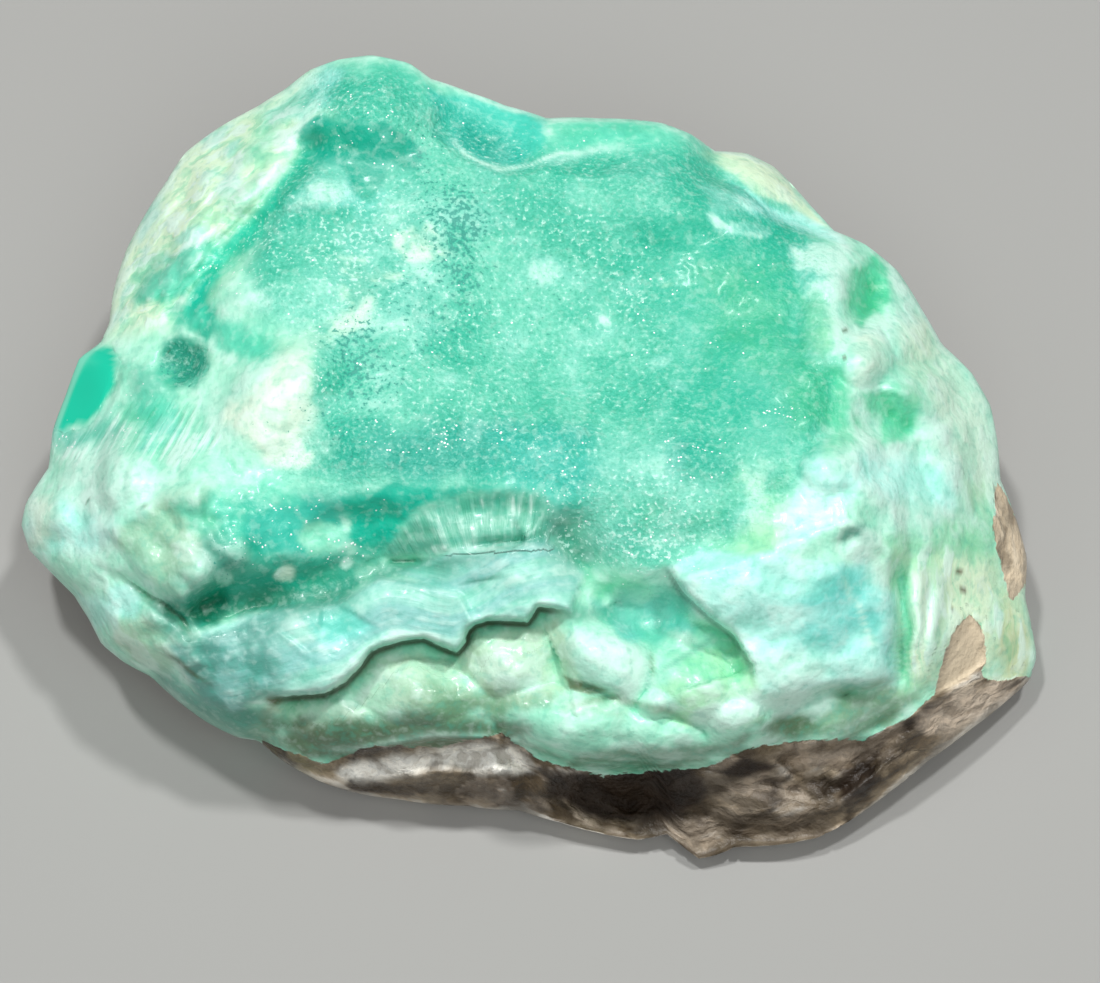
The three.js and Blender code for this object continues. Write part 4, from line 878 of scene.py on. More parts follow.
    ("teal", 0.9, 1.4, [(-42, 13), (-38.4, 12.4), (-37.6, 8), (-40, 6.4), (-42.4, 8)]),
    ("slate", 0.3, 1.2, [(-42, 13), (-38.4, 12.4), (-38, 9.6), (-42, 10)]),
    ("teal", 0.9, 1.3, [(-32.8, 16.8), (-29, 16.2), (-28.4, 13.4), (-31.8, 12.8)]),
    ("turquoise", 0.6, 0.9, [(-50.6, 6.6), (-46.4, 6.4), (-44, 7.8), (-43.4, 5.8), (-46, 4.2),
        (-50.6, 4.4)]),
    ("leaf", 0.75, 1.2, [(12.4, -16.8), (16.4, -17), (16.8, -19.6), (13, -20.2)]),
    ("seafoam", 0.65, 1, [(9.4, -14), (13.4, -14), (13.2, -16.8), (10, -17)]),
    ("cream", 0.9, 0.8, [(-53, -0.8), (-50, -0.4), (-49.4, -5), (-52.4, -5.8)]),
    ("frost", 0.9, 0.8, [(20.6, -20.6), (28.4, -20.2), (29, -22.6), (21.4, -22.8)]),
    ("teal", 0.9, 1.2, [(-29.8, 1.2), (-26, 1.2), (-25.2, -1.6), (-29, -2)]),
    # painted shade below the lower lumps, in this row and the next
    ("thyme", 0.75, 1, [(-11.4, -20.2), (-3, -20), (1.4, -20.4), (0.4, -22.8), (-10.8, -22.8)]),
    ("moss", 0.6, 0.6, [(-6, -23.4), (-1.4, -23.6), (-1.8, -25.2), (-6, -25.4)]),
    ("fern", 0.65, 1, [(27.8, 7.4), (31, 7), (31.2, 4.2), (28, 4)]),
    ("ice", 0.7, 0.8, [(9.6, -8.2), (13, -8), (13.6, -10.6), (10.2, -10.8)]),
    ("slate", 0.55, 0.8, [(1.2, -11.4), (7, -11.2), (7.4, -13.6), (2, -13.8)]),
    ("frost", 0.6, 1, [(15.4, 31), (19.6, 31), (20.6, 28.2), (16.2, 28)]),
    ("frost", 0.7, 0.8, [(9.8, -8.4), (12.8, -8.2), (13.2, -10.4), (10.4, -10.6)]),
    ("fern", 0.45, 1, [(12.6, -17), (16.2, -17.2), (16.6, -19.4), (13.2, -19.8)]),
    ("butter", 0.8, 0.6, [(36.4, -16.4), (38.8, -16.2), (38.4, -19.8), (36.6, -19.6)]),
    ("fern", 0.6, 1, [(25, 16.6), (28, 16.2), (28, 13), (25.2, 13)]),
    ("ice", 0.7, 0.8, [(27.4, -17), (31.4, -16.8), (31.8, -19.4), (28, -19.6)]),
    ("teal", 0.9, 1, [(-38.6, 19), (-35, 19), (-34.6, 16.2), (-38, 16.2)]),
    ("teal", 0.8, 1, [(-35.6, 25), (-32, 25), (-31.4, 22.4), (-35, 22)]),
    ("ice", 0.8, 0.8, [(-47.6, -10.8), (-44.4, -10.6), (-43.8, -13.8), (-46.4, -14.2)]),
    ("leaf", 0.8, 1, [(25.2, 19.6), (27.6, 19.8), (28.6, 17), (28, 14.6), (25.6, 15)]),
    ("mist", 0.5, 0.8, [(7, -10), (14, -9.8), (14, -12.6), (11, -14), (7, -14)]),
    ("sage", 0.5, 0.8, [(-4, -15.6), (2, -15.8), (2.4, -18), (-3.6, -18.4)]),
    ("butter", 0.7, 0.6, [(46.6, -9.6), (48, -9.2), (48.4, -13), (47, -13.6)]),
    ("leaf", 0.7, 1.2, [(41.6, 1), (44.4, 0.6), (45.4, -3), (44.6, -7), (42, -6)]),
    ("butter", 0.35, 1.5, [(37, 17), (42, 13), (45.6, 5), (45.6, 0), (42.6, -1), (40, 6), (36, 12)]),
]

# The same for the bare rock.
ROCK_AREAS = [
    ("chalk", 0.95, 0.7, WHITE_FACE),
    ("umber", 0.6, 1.5, [(16, -28), (24, -27.6), (30, -29), (31.4, -31.4), (27, -35), (20, -37.5),
        (13, -37.5), (8, -34), (9, -31)]),
    ("umber", 0.97, 0.7, [(-1.2, -28.4), (4, -28.6), (15, -28.1), (16.2, -30.9), (14, -32.9), (9, -33.9),
        (5, -33.4), (0, -31.1)]),
    ("umber", 1, 0.3, [(16.3, -28.4), (20, -27.6), (22.8, -27.9), (22.2, -28.8), (17, -29.2)]),
    ("umber", 0.7, 1, [(6, -31), (14, -31), (15.4, -34), (9, -35)]),
    ("umber", 0.55, 0.8, [(35.8, -22.8), (40, -21.4), (42, -24), (38.4, -26.8), (35, -25.6)]),
    ("silver", 0.4, 0.4, [(11.8, -33.9), (15, -32.9), (17.7, -33.9), (17.2, -35.9), (15, -37.5),
        (13.4, -36.5)]),
    ("silver", 0.7, 0.8, [(23, -27.1), (30, -25.9), (35.7, -24.1), (33, -27), (29, -28), (25.2, -28.5)]),
    ("umber", 0.7, 0.7, [(25.4, -29.6), (29, -28.6), (33, -27.8), (34, -29.4), (30, -31), (27, -31.4)]),
    ("umber", 0.8, 0.3, [(35.5, -23.6), (38, -21.4), (38.7, -22.1), (37, -24.4), (35.7, -24.9)]),
    ("umber", 0.5, 1, [(19, -33), (24, -32.6), (29, -31.6), (32, -31), (28, -34.6), (22, -35.6),
        (18, -35)]),
    ("umber", 0.55, 1, [(-22, -30), (-12, -29.6), (-6, -29.4), (-2, -29), (0, -31), (-3, -33), (-12, -32.4),
        (-20, -31)]),
    ("olive", 0.6, 1, [(-29, -25.6), (-23, -27), (-22, -28.6), (-25, -29)]),
    ("umber", 0.5, 1, [(31, -26.6), (36, -24.6), (39, -24), (37, -28), (32, -31), (29.6, -29.6)]),
    ("silver", 0.8, 0.6, [(37, -22.4), (41, -20.6), (46, -18.8), (48, -19.4), (45, -22), (40, -25),
        (37.4, -24.6)]),
    ("silver", 0.5, 0.4, [(17, -30.6), (22.5, -28.4), (25, -29.9), (26.6, -31.6), (23, -32.2),
        (20.4, -31.2)]),
    ("tan", 1, 0.25, ROCK_FACE),
    ("tan", 0.7, 0.4, ROCK_FLAKE),
]

# Spots: name, across, up, half length, half width, turn, strength.
SPOTS = [
    ("frost", 11.3, 13.1, 1.3, 0.8, 20, 0.6), ("butter", 11.7, 20.8, 0.7, 0.3, 20, 0.9),
    ("frost", 5.5, 17.2, 0.7, 0.35, -40, 0.9), ("frost", 14, 18.8, 1, 0.2, -15, 0.8),
    ("frost", -0.5, 22.6, 1.8, 1.6, 0, 0.7), ("frost", 13, 10.6, 1.2, 0.6, -20, 0.5),
    ("frost", -3, 25, 1.4, 1, 0, 0.4), ("cream", -26.7, -8.5, 1.2, 0.8, 10, 0.9),
    ("frost", -33, -8.8, 1, 0.8, 0, 0.7), ("frost", -20.5, -7.5, 0.7, 0.6, 0, 1),
    ("frost", -11.2, -6.1, 0.8, 0.45, 0, 1), ("frost", 3.8, -6.8, 0.7, 0.6, 0, 0.9),
    ("moss", 30, -20.7, 0.32, 0.24, 0, 1), ("brown", 41.3, -8.2, 0.6, 0.5, 30, 0.9),
    ("brown", 41.6, -10.2, 0.4, 0.25, 0, 0.9), ("brown", 40.7, -12, 0.35, 0.25, 40, 0.9),
    ("moss", -38.4, 14.2, 0.2, 0.15, 0, 0.6), ("moss", 29.8, 16.2, 0.3, 0.15, 20, 0.8),
    ("moss", 29.7, 13.4, 0.22, 0.15, 0, 0.8), ("moss", -46.6, -1.2, 0.25, 0.2, 40, 0.8),
    ("moss", -41, -1.8, 0.7, 0.25, 35, 0.5), ("olive", -27.6, -21.3, 0.9, 0.5, -10, 0.6),
]

# Fine lines of colour: name, strength, half width and line.
STROKES = [
    ("jade", 0.9, 1.1, [(-22.5, 35), (-25.4, 32.6), (-27.6, 29.6), (-30, 26.8), (-33.5, 23.6),
        (-35.4, 19.6), (-36.4, 15)]),
    ("emerald", 0.7, 0.6, [(-33.5, 23.4), (-35.6, 20), (-36.2, 17)]),
    ("jade", 0.6, 0.6, [(-29, 27.2), (-25, 27.8), (-20, 28.4), (-17, 28)]),
    ("frost", 0.9, 0.25, [(-11, 37.1), (-10, 36), (-8.8, 34.1), (-7, 33.1), (-5, 32.4), (-2, 33), (1, 34.2),
        (5, 34.4)]),
    ("frost", 0.7, 0.5, [(-2, 32.9), (1.5, 33.6), (5, 34.6), (9, 35)]),
    ("ice", 0.9, 0.3, [(19, 31.4), (22, 28.6), (26, 27.1), (29, 25.9)]),
    ("slate", 0.6, 0.15, [(17.4, 31.4), (19.6, 30.4), (22, 28.2)]),
    ("pool", 0.7, 0.22, [(-17, -7.5), (-12, -7)]),
    ("pool", 0.7, 0.2, [(-9.2, -5.7), (-5, -5.3), (-0.6, -4.9)]),
    ("pool", 0.7, 0.2, [(-9.6, -9.6), (-6, -9.1), (-4.4, -8.8)]),
    ("frost", 0.7, 0.3, [(-11.5, -6.3), (-6, -6), (-1, -5.5)]),
    ("moss", 0.8, 0.25, [(-40, -16), (-37.4, -17.4), (-35.4, -19), (-33.4, -20)]),
    ("moss", 0.6, 0.2, [(-38.4, -11.6), (-36.6, -12)]),
    ("thyme", 0.7, 0.3, [(-53, -5.4), (-50.4, -5.6)]),
    ("pool", 0.5, 0.3, [(-4.2, -1.8), (-3.4, -3.6), (-2, -6)]),
    ("thyme", 0.7, 0.3, [(10.2, -16), (10.4, -19.6)]),
    ("thyme", 0.6, 0.35, [(-8, -15), (-6.4, -18.6), (-5, -20)]),
    ("thyme", 0.7, 0.4, [(0.5, -22.3), (6, -21), (12, -22.6), (16, -25)]),
    ("slate", 0.5, 0.35, [(10, -19.6), (13, -17.4), (16, -15.6), (18, -15.4)]),
    ("slate", 0.4, 0.3, [(12, -21), (16, -19.6), (20, -20.6)]),
    ("frost", 0.7, 0.2, [(30.4, -10), (31.6, -13.4), (33, -17)]),
    ("frost", 0.6, 0.25, [(29.5, -8.2), (30.6, -12)]),
    # painted shadow along the plates' top edge
    ("slate", 0.6, 0.6, [(-22, -9.8), (-18, -9), (-15, -8.2), (-11, -7.6), (-7, -6.4), (-1, -5.8)]),
    # painted shade on the valley's shaded side, right of the fan
    ("slate", 0.9, 2.1, [(-1.6, -1.4), (0.4, -3.6), (2.6, -6.4), (5, -9)]),
    # painted shadow strip over the plates' top edge
    ("slate", 0.85, 1.4, [(-34, -12.4), (-29, -11.6), (-24.5, -12), (-20.5, -10.6), (-18, -9.4)]),
    ("slate", 0.85, 1.7, [(-36, -4.4), (-33.4, -6.4), (-31, -8.4)]),
    # painted shadow along the plates' top edge
    ("slate", 0.35, 1.2, [(-17, -9.6), (-12, -9.2), (-9, -8.6)]),
    ("slate", 0.6, 1.2, [(-38.8, -8), (-36.4, -9.6), (-34, -10.6)]),
    ("slate", 0.85, 1.6, [(-42, -10.8), (-39.4, -12.4), (-36.6, -15.2), (-34, -17)]),
    ("deep", 0.7, 1.4, [(-21.6, -7), (-18.4, -6.4), (-15.4, -4.8)]),
    ("sage", 0.8, 0.3, [(34.9, -7.4), (35.2, -11), (35.4, -15), (35, -19.6)]),
    ("sage", 0.6, 0.3, [(39.4, -7), (40, -11), (38.6, -16), (37.2, -20)]),
    ("umber", 0.9, 0.3, [(21.8, -28.4), (24, -30), (25.6, -31)]),
    ("umber", 0.8, 0.3, [(-4.2, -25), (-1.6, -28.4), (-0.4, -30)]),
    ("brown", 0.8, 0.25, [(44.4, -17.2), (42.4, -18.6), (41.8, -19.8)]),
]

# How thickly small grains cover the drusy basin, as spots: across, up, half length, half width, turn, share.
PALE_GRAINS = [
    (-14, 22, 14, 12, 0, 0.5), (-18, 12, 10, 9, 0, 0.45), (-8, 12, 12, 9, 0, 0.4), (0, 20, 13, 14, 0, 0.34),
    (0, 8, 16, 8, 0, 0.25), (-20, 36, 9, 6, 0, 0.3), (-4, 33, 16, 4, 0, 0.25), (14, 12, 14, 14, 0, 0.08),
    (8, -3, 12, 7, 0, 0.5), (-30, 26, 9, 8, 0, 0.3),
]
DARK_GRAINS = [
    (-9.6, 26, 4, 9, 12, 1), (-18.5, 12.5, 4.5, 7, 20, 1), (-12, 20, 7, 9, 0, 0.5), (-22, 6, 7, 4, 0, 0.4),
    (-4, 20, 10, 10, 0, 0.25), (-13, 35.6, 3, 3, 0, 0.7), (-36.8, 12.4, 2.6, 2.4, 0, 0.8),
    (-33, -7, 2.4, 2.4, 0, 0.6),
]
# Where white glints are painted into the colour as sparkles, in spots of the same kind.
GLITTER = [
    (-8, 4.6, 12, 1.9, 3, 1), (-17, 5.6, 5, 1.4, 0, 0.8), (0, 2, 3.2, 3.4, 0, 0.9), (2, -2, 3, 3, 0, 0.6),
    (22, 7.6, 4, 1.6, 12, 0.9), (15, 4.4, 5, 2.4, 10, 0.7), (12, 0, 7, 3, 10, 0.5),
    (-27, -2.6, 6, 3.2, 0, 0.8), (-18.6, -1.6, 2.6, 1.4, 10, 1), (-21, -6, 4, 1.6, 0, 0.5),
    (-29, -6, 4, 1.6, 0, 0.7), (14, 18, 10, 9, 0, 0.1), (4, 34.6, 7, 1, 0, 0.4), (-17, 38, 8, 5, 0, 0.3),
    (-42, 6.6, 5, 3, 40, 0.5), (-49, 5.4, 2, 1.6, 0, 0.6), (10, -7, 6, 2.6, 0, 0.5),
    (17, -9.8, 4, 1.2, 0, 0.3), (-14, 20, 12, 12, 0, 0.12), (-33, 21.5, 3, 2, 0, 0.4),
]


# The line that the plates' bands follow, and the outline of the blue plate.
PLATE_BAND = [(4, -14), (-3, -14.6), (-9, -17.4), (-15, -17), (-20, -20), (-27, -22), (-36, -23)]
BLUE_PLATE = [
    (-25.2, -12.6), (-22.5, -11.8), (-20.5, -11.3), (-19, -12.7), (-17.3, -14.1), (-20, -15.4),
    (-22, -16.6), (-23.7, -15.1),
]


class Skin:
    """The skin while it is painted: where each vertex lies, and the colour laid on it so far."""

    def __init__(self, points, relief, swell, front):
        self.points, self.relief, self.swell, self.front = points, relief, swell, front
        self.u, self.v, self.depth = sight_of(points)
        self.wu, self.wv = wandered(self.u, self.v)
        x, y, z = points.T
        self.ragged = fractal(x, y, z, 2.4, 5)
        self.mottle = fractal(x + 40, y, z, 5, 5)
        self.patches = fractal(x - 17, y, z + 5, 3, 5)
        self.angle = np.arctan2(self.v - CENTRE[1], self.u - CENTRE[0])
        radius, height = rim_at(self.angle)
        self.below_rim = depth_of(height, self.v) - self.depth
        self.shown = np.where(front > 0.5, 1, 1 - smoothstep(self.below_rim, 1, 5))
        inward = radius - np.hypot(self.u - CENTRE[0], self.v - CENTRE[1])
        self.from_rim = np.where(self.shown > 0, inward, self.depth)
        self.colour = np.tile(PALETTE["mint"], (len(points), 1))
        self.flank = in_region(FLANK, self.wu, self.wv, 2)
        druse = in_region(DRUSE, self.wu + 0.4 * self.ragged, self.wv - 0.4 * self.ragged, 2)
        pit = 1 - smoothstep(ellipse_distance(PIT, self.u, self.v) + 0.3 * self.ragged, 0.7, 1.1)
        self.druse = np.maximum(druse, pit) * self.shown

    def drift(self, share, where=slice(None)):
        """Sight lines moved about by only a share of the full wander, for crisper outlines."""
        return (share * self.wu[where] + (1 - share) * self.u[where],
                share * self.wv[where] + (1 - share) * self.v[where])

    def share_of(self, spots):
        return strongest(spots, self.wu, self.wv, faded)

    def lay(self, name, amount, where=slice(None)):
        """Lays a tone of the palette over the skin, as thickly as amount (0 to 1) says."""
        self.colour[where] = mix(self.colour[where], PALETTE[name], np.clip(amount, 0, 1)[:, None])

    def deepen(self, tint, amount):
        """Multiplies the colour by a tint, as far as amount says."""
        self.colour *= mix(np.ones(3), np.array(tint), amount[:, None])

    def lay_areas(self, rows):
        for name, strength, soft, outline in rows:
            near = np.flatnonzero(boxed(outline, self.wu, self.wv, soft + 1.5) & (self.shown > 0))
            edge = signed_distance(outline, *self.drift(0.35, near))
            edge = edge + (0.25 + 0.5 * soft) * self.ragged[near]
            self.lay(name, self.shown[near] * strength * smoothstep(edge, -soft, soft), near)

    def lay_spots(self, rows):
        for name, *shape, strength in rows:
            across, up, long = shape[:3]
            near = np.flatnonzero(np.hypot(self.u - across, self.v - up) < 2 * long + 0.5)
            q = ellipse_distance(shape, self.u[near], self.v[near]) + 0.3 * self.ragged[near]
            self.lay(name, strength * self.shown[near] * (1 - smoothstep(q, 0.6, 1.3)), near)

    def lay_strokes(self, rows):
        for name, strength, wide, line in rows:
            near = np.flatnonzero(boxed(line, self.u, self.v, 2))
            distance, _, taper = line_distance(line, *self.drift(0.5, near))
            self.lay(name, strength * self.shown[near] * taper * np.exp(-(distance / wide) ** 2), near)


def boxed(outline, u, v, reach):
    """Which places lie within reach of the box round an outline."""
    low, high = np.min(outline, axis=0) - reach, np.max(outline, axis=0) + reach
    return (u > low[0]) & (u < high[0]) & (v > low[1]) & (v < high[1])


def paint_crust(skin):
    u, v, druse, flank = skin.u, skin.v, skin.druse, skin.flank
    skin.lay("foam", druse)
    skin.lay("teal", druse * smoothstep(skin.mottle, -0.5, 0.8))
    skin.lay("butter", flank * 0.9)
    skin.lay("lime", flank * smoothstep(fractal(u / 2.4, v / 7, 0 * u, 1, 4), 0, 0.9) * 0.35)
    skin.lay("frost", flank * smoothstep(fractal(*skin.points.T, 3, 4), 0, 0.9))
    skin.lay_areas(AREAS)
    skin.lay_spots(SPOTS)
    bloom = 0.05 + 0.85 * skin.share_of(PALE_GRAINS)
    skin.lay("frost", druse * smoothstep(skin.patches, 0.1, 0.8) * bloom)
    skin.lay("jade", druse * smoothstep(-skin.patches, 0.1, 0.8) * 0.5)


def paint_plates(skin):
    """Bands that follow the plates' broken edge. Gives where the plates are and how far the edge is."""
    u, v = skin.u, skin.v
    plates = [in_region(outline, skin.wu, skin.wv, 0.4) for outline in (LOWER_PLATE, UPPER_PLATE)]
    plates = np.max(plates, axis=0) * skin.shown
    to_edge = line_distance(PLATE_BAND, *skin.drift(0.4))[0] + 0.9 * noise(u / 9, v / 9, 0 * u)
    bands = smoothstep(fractal(to_edge / 1.5, u / 22, v / 22, 1, 3), -0.5, 0.6)
    banded = plates * smoothstep(u + 1.5 * skin.ragged, -30, -25)
    skin.lay("glacier", 0.95 * banded)
    skin.lay("mint", banded * bands * 0.45)
    skin.lay("dusk", 0.95 * (plates - banded))
    skin.lay("glacier", (plates - banded) * smoothstep(skin.patches, 0, 0.6) * 0.7)
    inside = signed_distance(BLUE_PLATE, *skin.drift(0.4))
    blue = smoothstep(inside + 0.3 * skin.ragged, -0.3, 0.5) * skin.shown
    skin.lay("lagoon", blue * 0.4)
    skin.lay("aqua", blue * 0.5)
    skin.lay("lagoon", blue * smoothstep(inside, 0.4, 2.2) * 0.45)
    return plates, to_edge


def paint_fan(skin):
    """The fan of fibres on the lip. Gives where it is and the place across its fibres."""
    u, v = skin.u, skin.v
    fan = in_region(FAN, u, v, 0.6)
    turned = np.arctan2(v + 22, u + 5) * 22
    layers = fractal(0 * u, (v + 0.012 * (u + 4) ** 2) / 0.9, u / 14, 1, 3)
    skin.lay("mint", fan * smoothstep(layers, -0.2, 0.6) * 0.4)
    skin.lay("teal", fan * smoothstep(v, -3.2, -1) * 0.7)
    fringe = smoothstep(fractal(turned / 0.42, v / 6, 0 * u, 1, 3), 0, 0.7)
    reach = smoothstep(v + 0.9 * noise(turned / 0.9, 0 * u, 0 * u), -4.8, -2.6)
    skin.lay("slate", fan * 0.35)
    skin.lay("frost", fan * fringe * reach * 0.4)
    skin.lay("slate", fan * (1 - smoothstep(v, -6.4, -4.6)) * 0.3)
    return fan, turned


def shade_edges(skin):
    """Lays painted shadow on the skin under each broken edge and a painted highlight along its top.

    Gives how far each place is above the nearest edge that has a painted shadow line, and how dark the line
    is.
    """
    above_edge, darkness = np.full(len(skin.u), 3.0), np.zeros(len(skin.u))
    for _, _, _, edge_shading, shade, line in LEDGES:
        if not edge_shading:
            continue
        distance, side, taper = line_distance(line, skin.wu, skin.wv)
        above = side * distance
        if shade:
            nearer = distance < np.abs(above_edge)
            above_edge = np.where(nearer, above, above_edge)
            darkness = np.where(nearer, taper * shade, darkness)
        amount = edge_shading * taper * skin.shown
        # painted shadow under the edge, and painted highlight along its top
        skin.lay("moss", amount * smoothstep(-above, 0, 0.5) * np.exp(-(distance / 0.8) ** 2))
        skin.lay("frost", 0.8 * amount * smoothstep(above, 0.1, 0.5) * np.exp(-(distance / 0.7) ** 2))
    return above_edge, darkness * skin.shown


def shade_relief_and_tint_basin(skin):
    """Painted highlight on what stands out, painted shade in the wide hollows and the creases, and the drusy
    basin's own darker tone.
    """
    waxy = 1 - 0.8 * skin.druse
    # painted highlight where the skin stands out
    skin.lay("frost", 0.3 * smoothstep(skin.relief, 0.08, 0.6) * waxy)
    # painted shade in the wide hollows and in the creases
    skin.deepen(HOLLOW_SHADE, 0.75 * smoothstep(-skin.swell, 0.15, 1.4) * waxy * (1 - 0.5 * skin.flank))
    skin.deepen(CREASE_SHADE, 0.7 * smoothstep(-skin.relief, 0.05, 0.7) * waxy * (1 - 0.4 * skin.flank))
    pale = smoothstep(skin.colour[:, 0], 0.34, 0.56)
    skin.deepen(BASIN_TINT, skin.druse * 0.95 * (1 - 0.8 * pale))


def bare_rock(skin):
    """Where the rock is bare, how far inside its edge each place is, and its plain broken faces."""
    behind = skin.below_rim + 3 * fractal(*skin.points.T, 10, 3) - 4.5
    behind = np.clip(np.where(skin.front > 0.5, np.minimum(behind, -1.5), behind), -12, 9)
    rock = np.maximum(in_region(ROCK, skin.wu, skin.wv, 0.5) * skin.shown, smoothstep(behind, -0.5, 0.5))
    edge = np.maximum(signed_distance(ROCK, *skin.drift(0.5)), behind)
    plain = np.zeros(len(skin.u))
    for face in PLAIN_FACES:
        inside = signed_distance(face, skin.u, skin.v) + 0.25 * skin.ragged
        inside = smoothstep(inside, -0.2, 0.2) * skin.shown
        plain = np.maximum(plain, inside)
        if face in ROCK_PATCHES:
            rock = np.maximum(rock, inside)
            edge = np.maximum(edge, signed_distance(face, *skin.drift(0.3)))
    return rock, edge + 0.15 * skin.ragged, plain


def paint_rock(skin, bent, plain):
    """Brown rock broken to blocks along its layers, with dark cracks, paler as painted light where it stands
    out and darker as painted shade in its hollows.
    """
    x, y, z = skin.points.T
    angle, ragged, relief = skin.angle, skin.ragged, skin.relief
    streak = fractal(angle * 17 + 0.3 * ragged, bent / 1.1, z / 30, 1, 5)
    block = nearest_cell(angle * 28, bent, z / 4, 2.2, faceted_measure)[1] - 0.5
    _, slab, gap = nearest_cell(angle * 34 + ragged, bent + 0.6 * ragged, z / 3, 6.5, faceted_measure)
    crack = (1 - smoothstep(gap, 0.02, 0.12)) * smoothstep(fractal(x, y + 30, z, 9, 2), -0.2, 0.3)
    blotch = fractal(x, y, z, 7, 4)
    skin.colour[:] = PALETTE["brown"]
    # paler along its own streaks and blocks, and where it stands out as painted light
    skin.lay("silver", smoothstep(0.5 * streak + 1.5 * block + relief + 0.4 * blotch, -0.1, 0.9) * 0.85)
    skin.lay("tan", smoothstep(blotch, 0, 0.8) * 0.35)
    skin.lay("tan", 0.3 * smoothstep(slab, 0.6, 0.8))
    skin.lay("umber", 0.4 * smoothstep(0.4 - slab, 0, 0.2))
    # chalk-white where streaks, blocks and raised places meet, partly painted highlight
    skin.lay("chalk", 0.5 * smoothstep(streak + relief + block, 0.8, 1.3))
    skin.lay_areas(ROCK_AREAS)
    skin.lay("umber", 0.7 * crack * (1 - plain))
    # darker along its own streaks and blocks, and in the hollows as painted shade
    skin.lay("umber", 0.5 * smoothstep(-streak - 0.9 * relief - 0.5 * block, 0.5, 1.1) * (1 - plain))


def fibre_flow(skin, plates, to_edge, fan, turned, rock_edge, bent):
    """Where the fibres lie: a place that changes slowly along them, and how far they show."""
    u, v, z, ragged = skin.u, skin.v, skin.points[:, 2], skin.ragged
    across, along = 0.57 * u - 0.82 * v, 0.82 * u + 0.57 * v
    regions = [
        (in_region(FLANK, u, v, 1.5), across / 1.2 + 0.8 * ragged, along / 3.4),
        (in_region(LEFT_FIBRES, u, v, 1.5), (0.85 * u - 0.5 * v) / 0.7, (0.5 * u + 0.85 * v) / 7),
        (in_region(SLAB, u, v, 1.2), u / 1.3 + 0.4 * ragged, v / 9),
        (0.55 * plates, to_edge / 1.2, u / 8),
        (fan, turned / 0.8, v / 6),
        (smoothstep(rock_edge, -0.8, -0.6), bent / 1.5 + 0.3 * ragged, skin.angle * 17),
    ]
    flow, fibrous = skin.points / 4, np.zeros(len(u))
    for inside, first, second in regions:
        inside = inside * (skin.shown > 0.5)
        flow = np.where(inside[:, None] > 0.02, np.stack([first, second, z / 12], axis=1), flow)
        fibrous = np.where(inside > 0.02, smoothstep(inside, 0.1, 1), fibrous)
    fibrous = np.where(rock_edge > 0, 1, fibrous * (1 - smoothstep(rock_edge, -2, -0.9)))
    return flow, np.where(skin.front > 0.5, fibrous * smoothstep(skin.from_rim, 0, 1.5), 0)


def smooth_spots(skin):
    """Where the crust is clear or smooth, without grains."""
    clear = np.maximum(in_region(EMERALD, skin.u, skin.v, 0.8), in_region(LIP_EMERALD, skin.u, skin.v, 0.8))
    return np.maximum(clear, 0.65 * in_region(SMOOTH_DRUSE, skin.wu, skin.wv, 3))


def painted(skin):
    """The colours of the crust and of the rock, the fibres' flow and the shares of each kind of grain."""
    paint_crust(skin)
    plates, to_edge = paint_plates(skin)
    fan, turned = paint_fan(skin)
    skin.lay_strokes(STROKES)
    above_edge, darkness = shade_edges(skin)
    shade_relief_and_tint_basin(skin)
    crust = skin.colour.copy()
    rock, rock_edge, plain = bare_rock(skin)
    bent = skin.from_rim + 0.8 * fractal(*skin.points.T, 5, 3)
    paint_rock(skin, bent, plain)
    flow, fibrous = fibre_flow(skin, plates, to_edge, fan, turned, rock_edge, bent)
    face_edge = [signed_distance(face, *skin.drift(0.3)) for face in (ROCK_FACE, GLASSY_FACE)]
    face_edge = np.where(skin.shown > 0.5, np.maximum(np.max(face_edge, axis=0), -3), -3)
    crust_only, clean = (1 - rock) * skin.shown, smooth_spots(skin)
    shares = {
        "edge_side": above_edge, "edge_share": darkness, "fibrous": fibrous,
        "rock_edge": rock_edge, "face_edge": face_edge,
        "druse": skin.druse * crust_only * (1 - 0.85 * clean),
        "pale_grains": skin.share_of(PALE_GRAINS) * crust_only * (1 + 0.5 * skin.mottle) * (1 - clean),
        "dark_grains": skin.share_of(DARK_GRAINS) * crust_only * (0.9 + 0.6 * skin.mottle),
        "glitter": skin.share_of(GLITTER) * crust_only,
    }
    return crust, skin.colour, flow, shares


def relief_of(mesh, rounds):
    """How far each vertex stands out from its smoothed surroundings, in millimetres."""
    points = coordinates(mesh) / MM
    ends = np.empty(len(mesh.edges) * 2, dtype=np.int32)
    mesh.edges.foreach_get("vertices", ends)
    a, b = ends[0::2], ends[1::2]
    count = np.bincount(ends, minlength=len(points))[:, None]
    smooth = points.copy()
    for _ in range(rounds):
        total = np.zeros_like(smooth)
        for axis in range(3):
            total[:, axis] = (np.bincount(a, smooth[b, axis], len(points))
                              + np.bincount(b, smooth[a, axis], len(points)))
        smooth = 0.5 * smooth + 0.5 * total / count
    normals = np.empty(len(points) * 3)
    mesh.vertices.foreach_get("normal", normals)
    return ((points - smooth) * normals.reshape(-1, 3)).sum(axis=1)


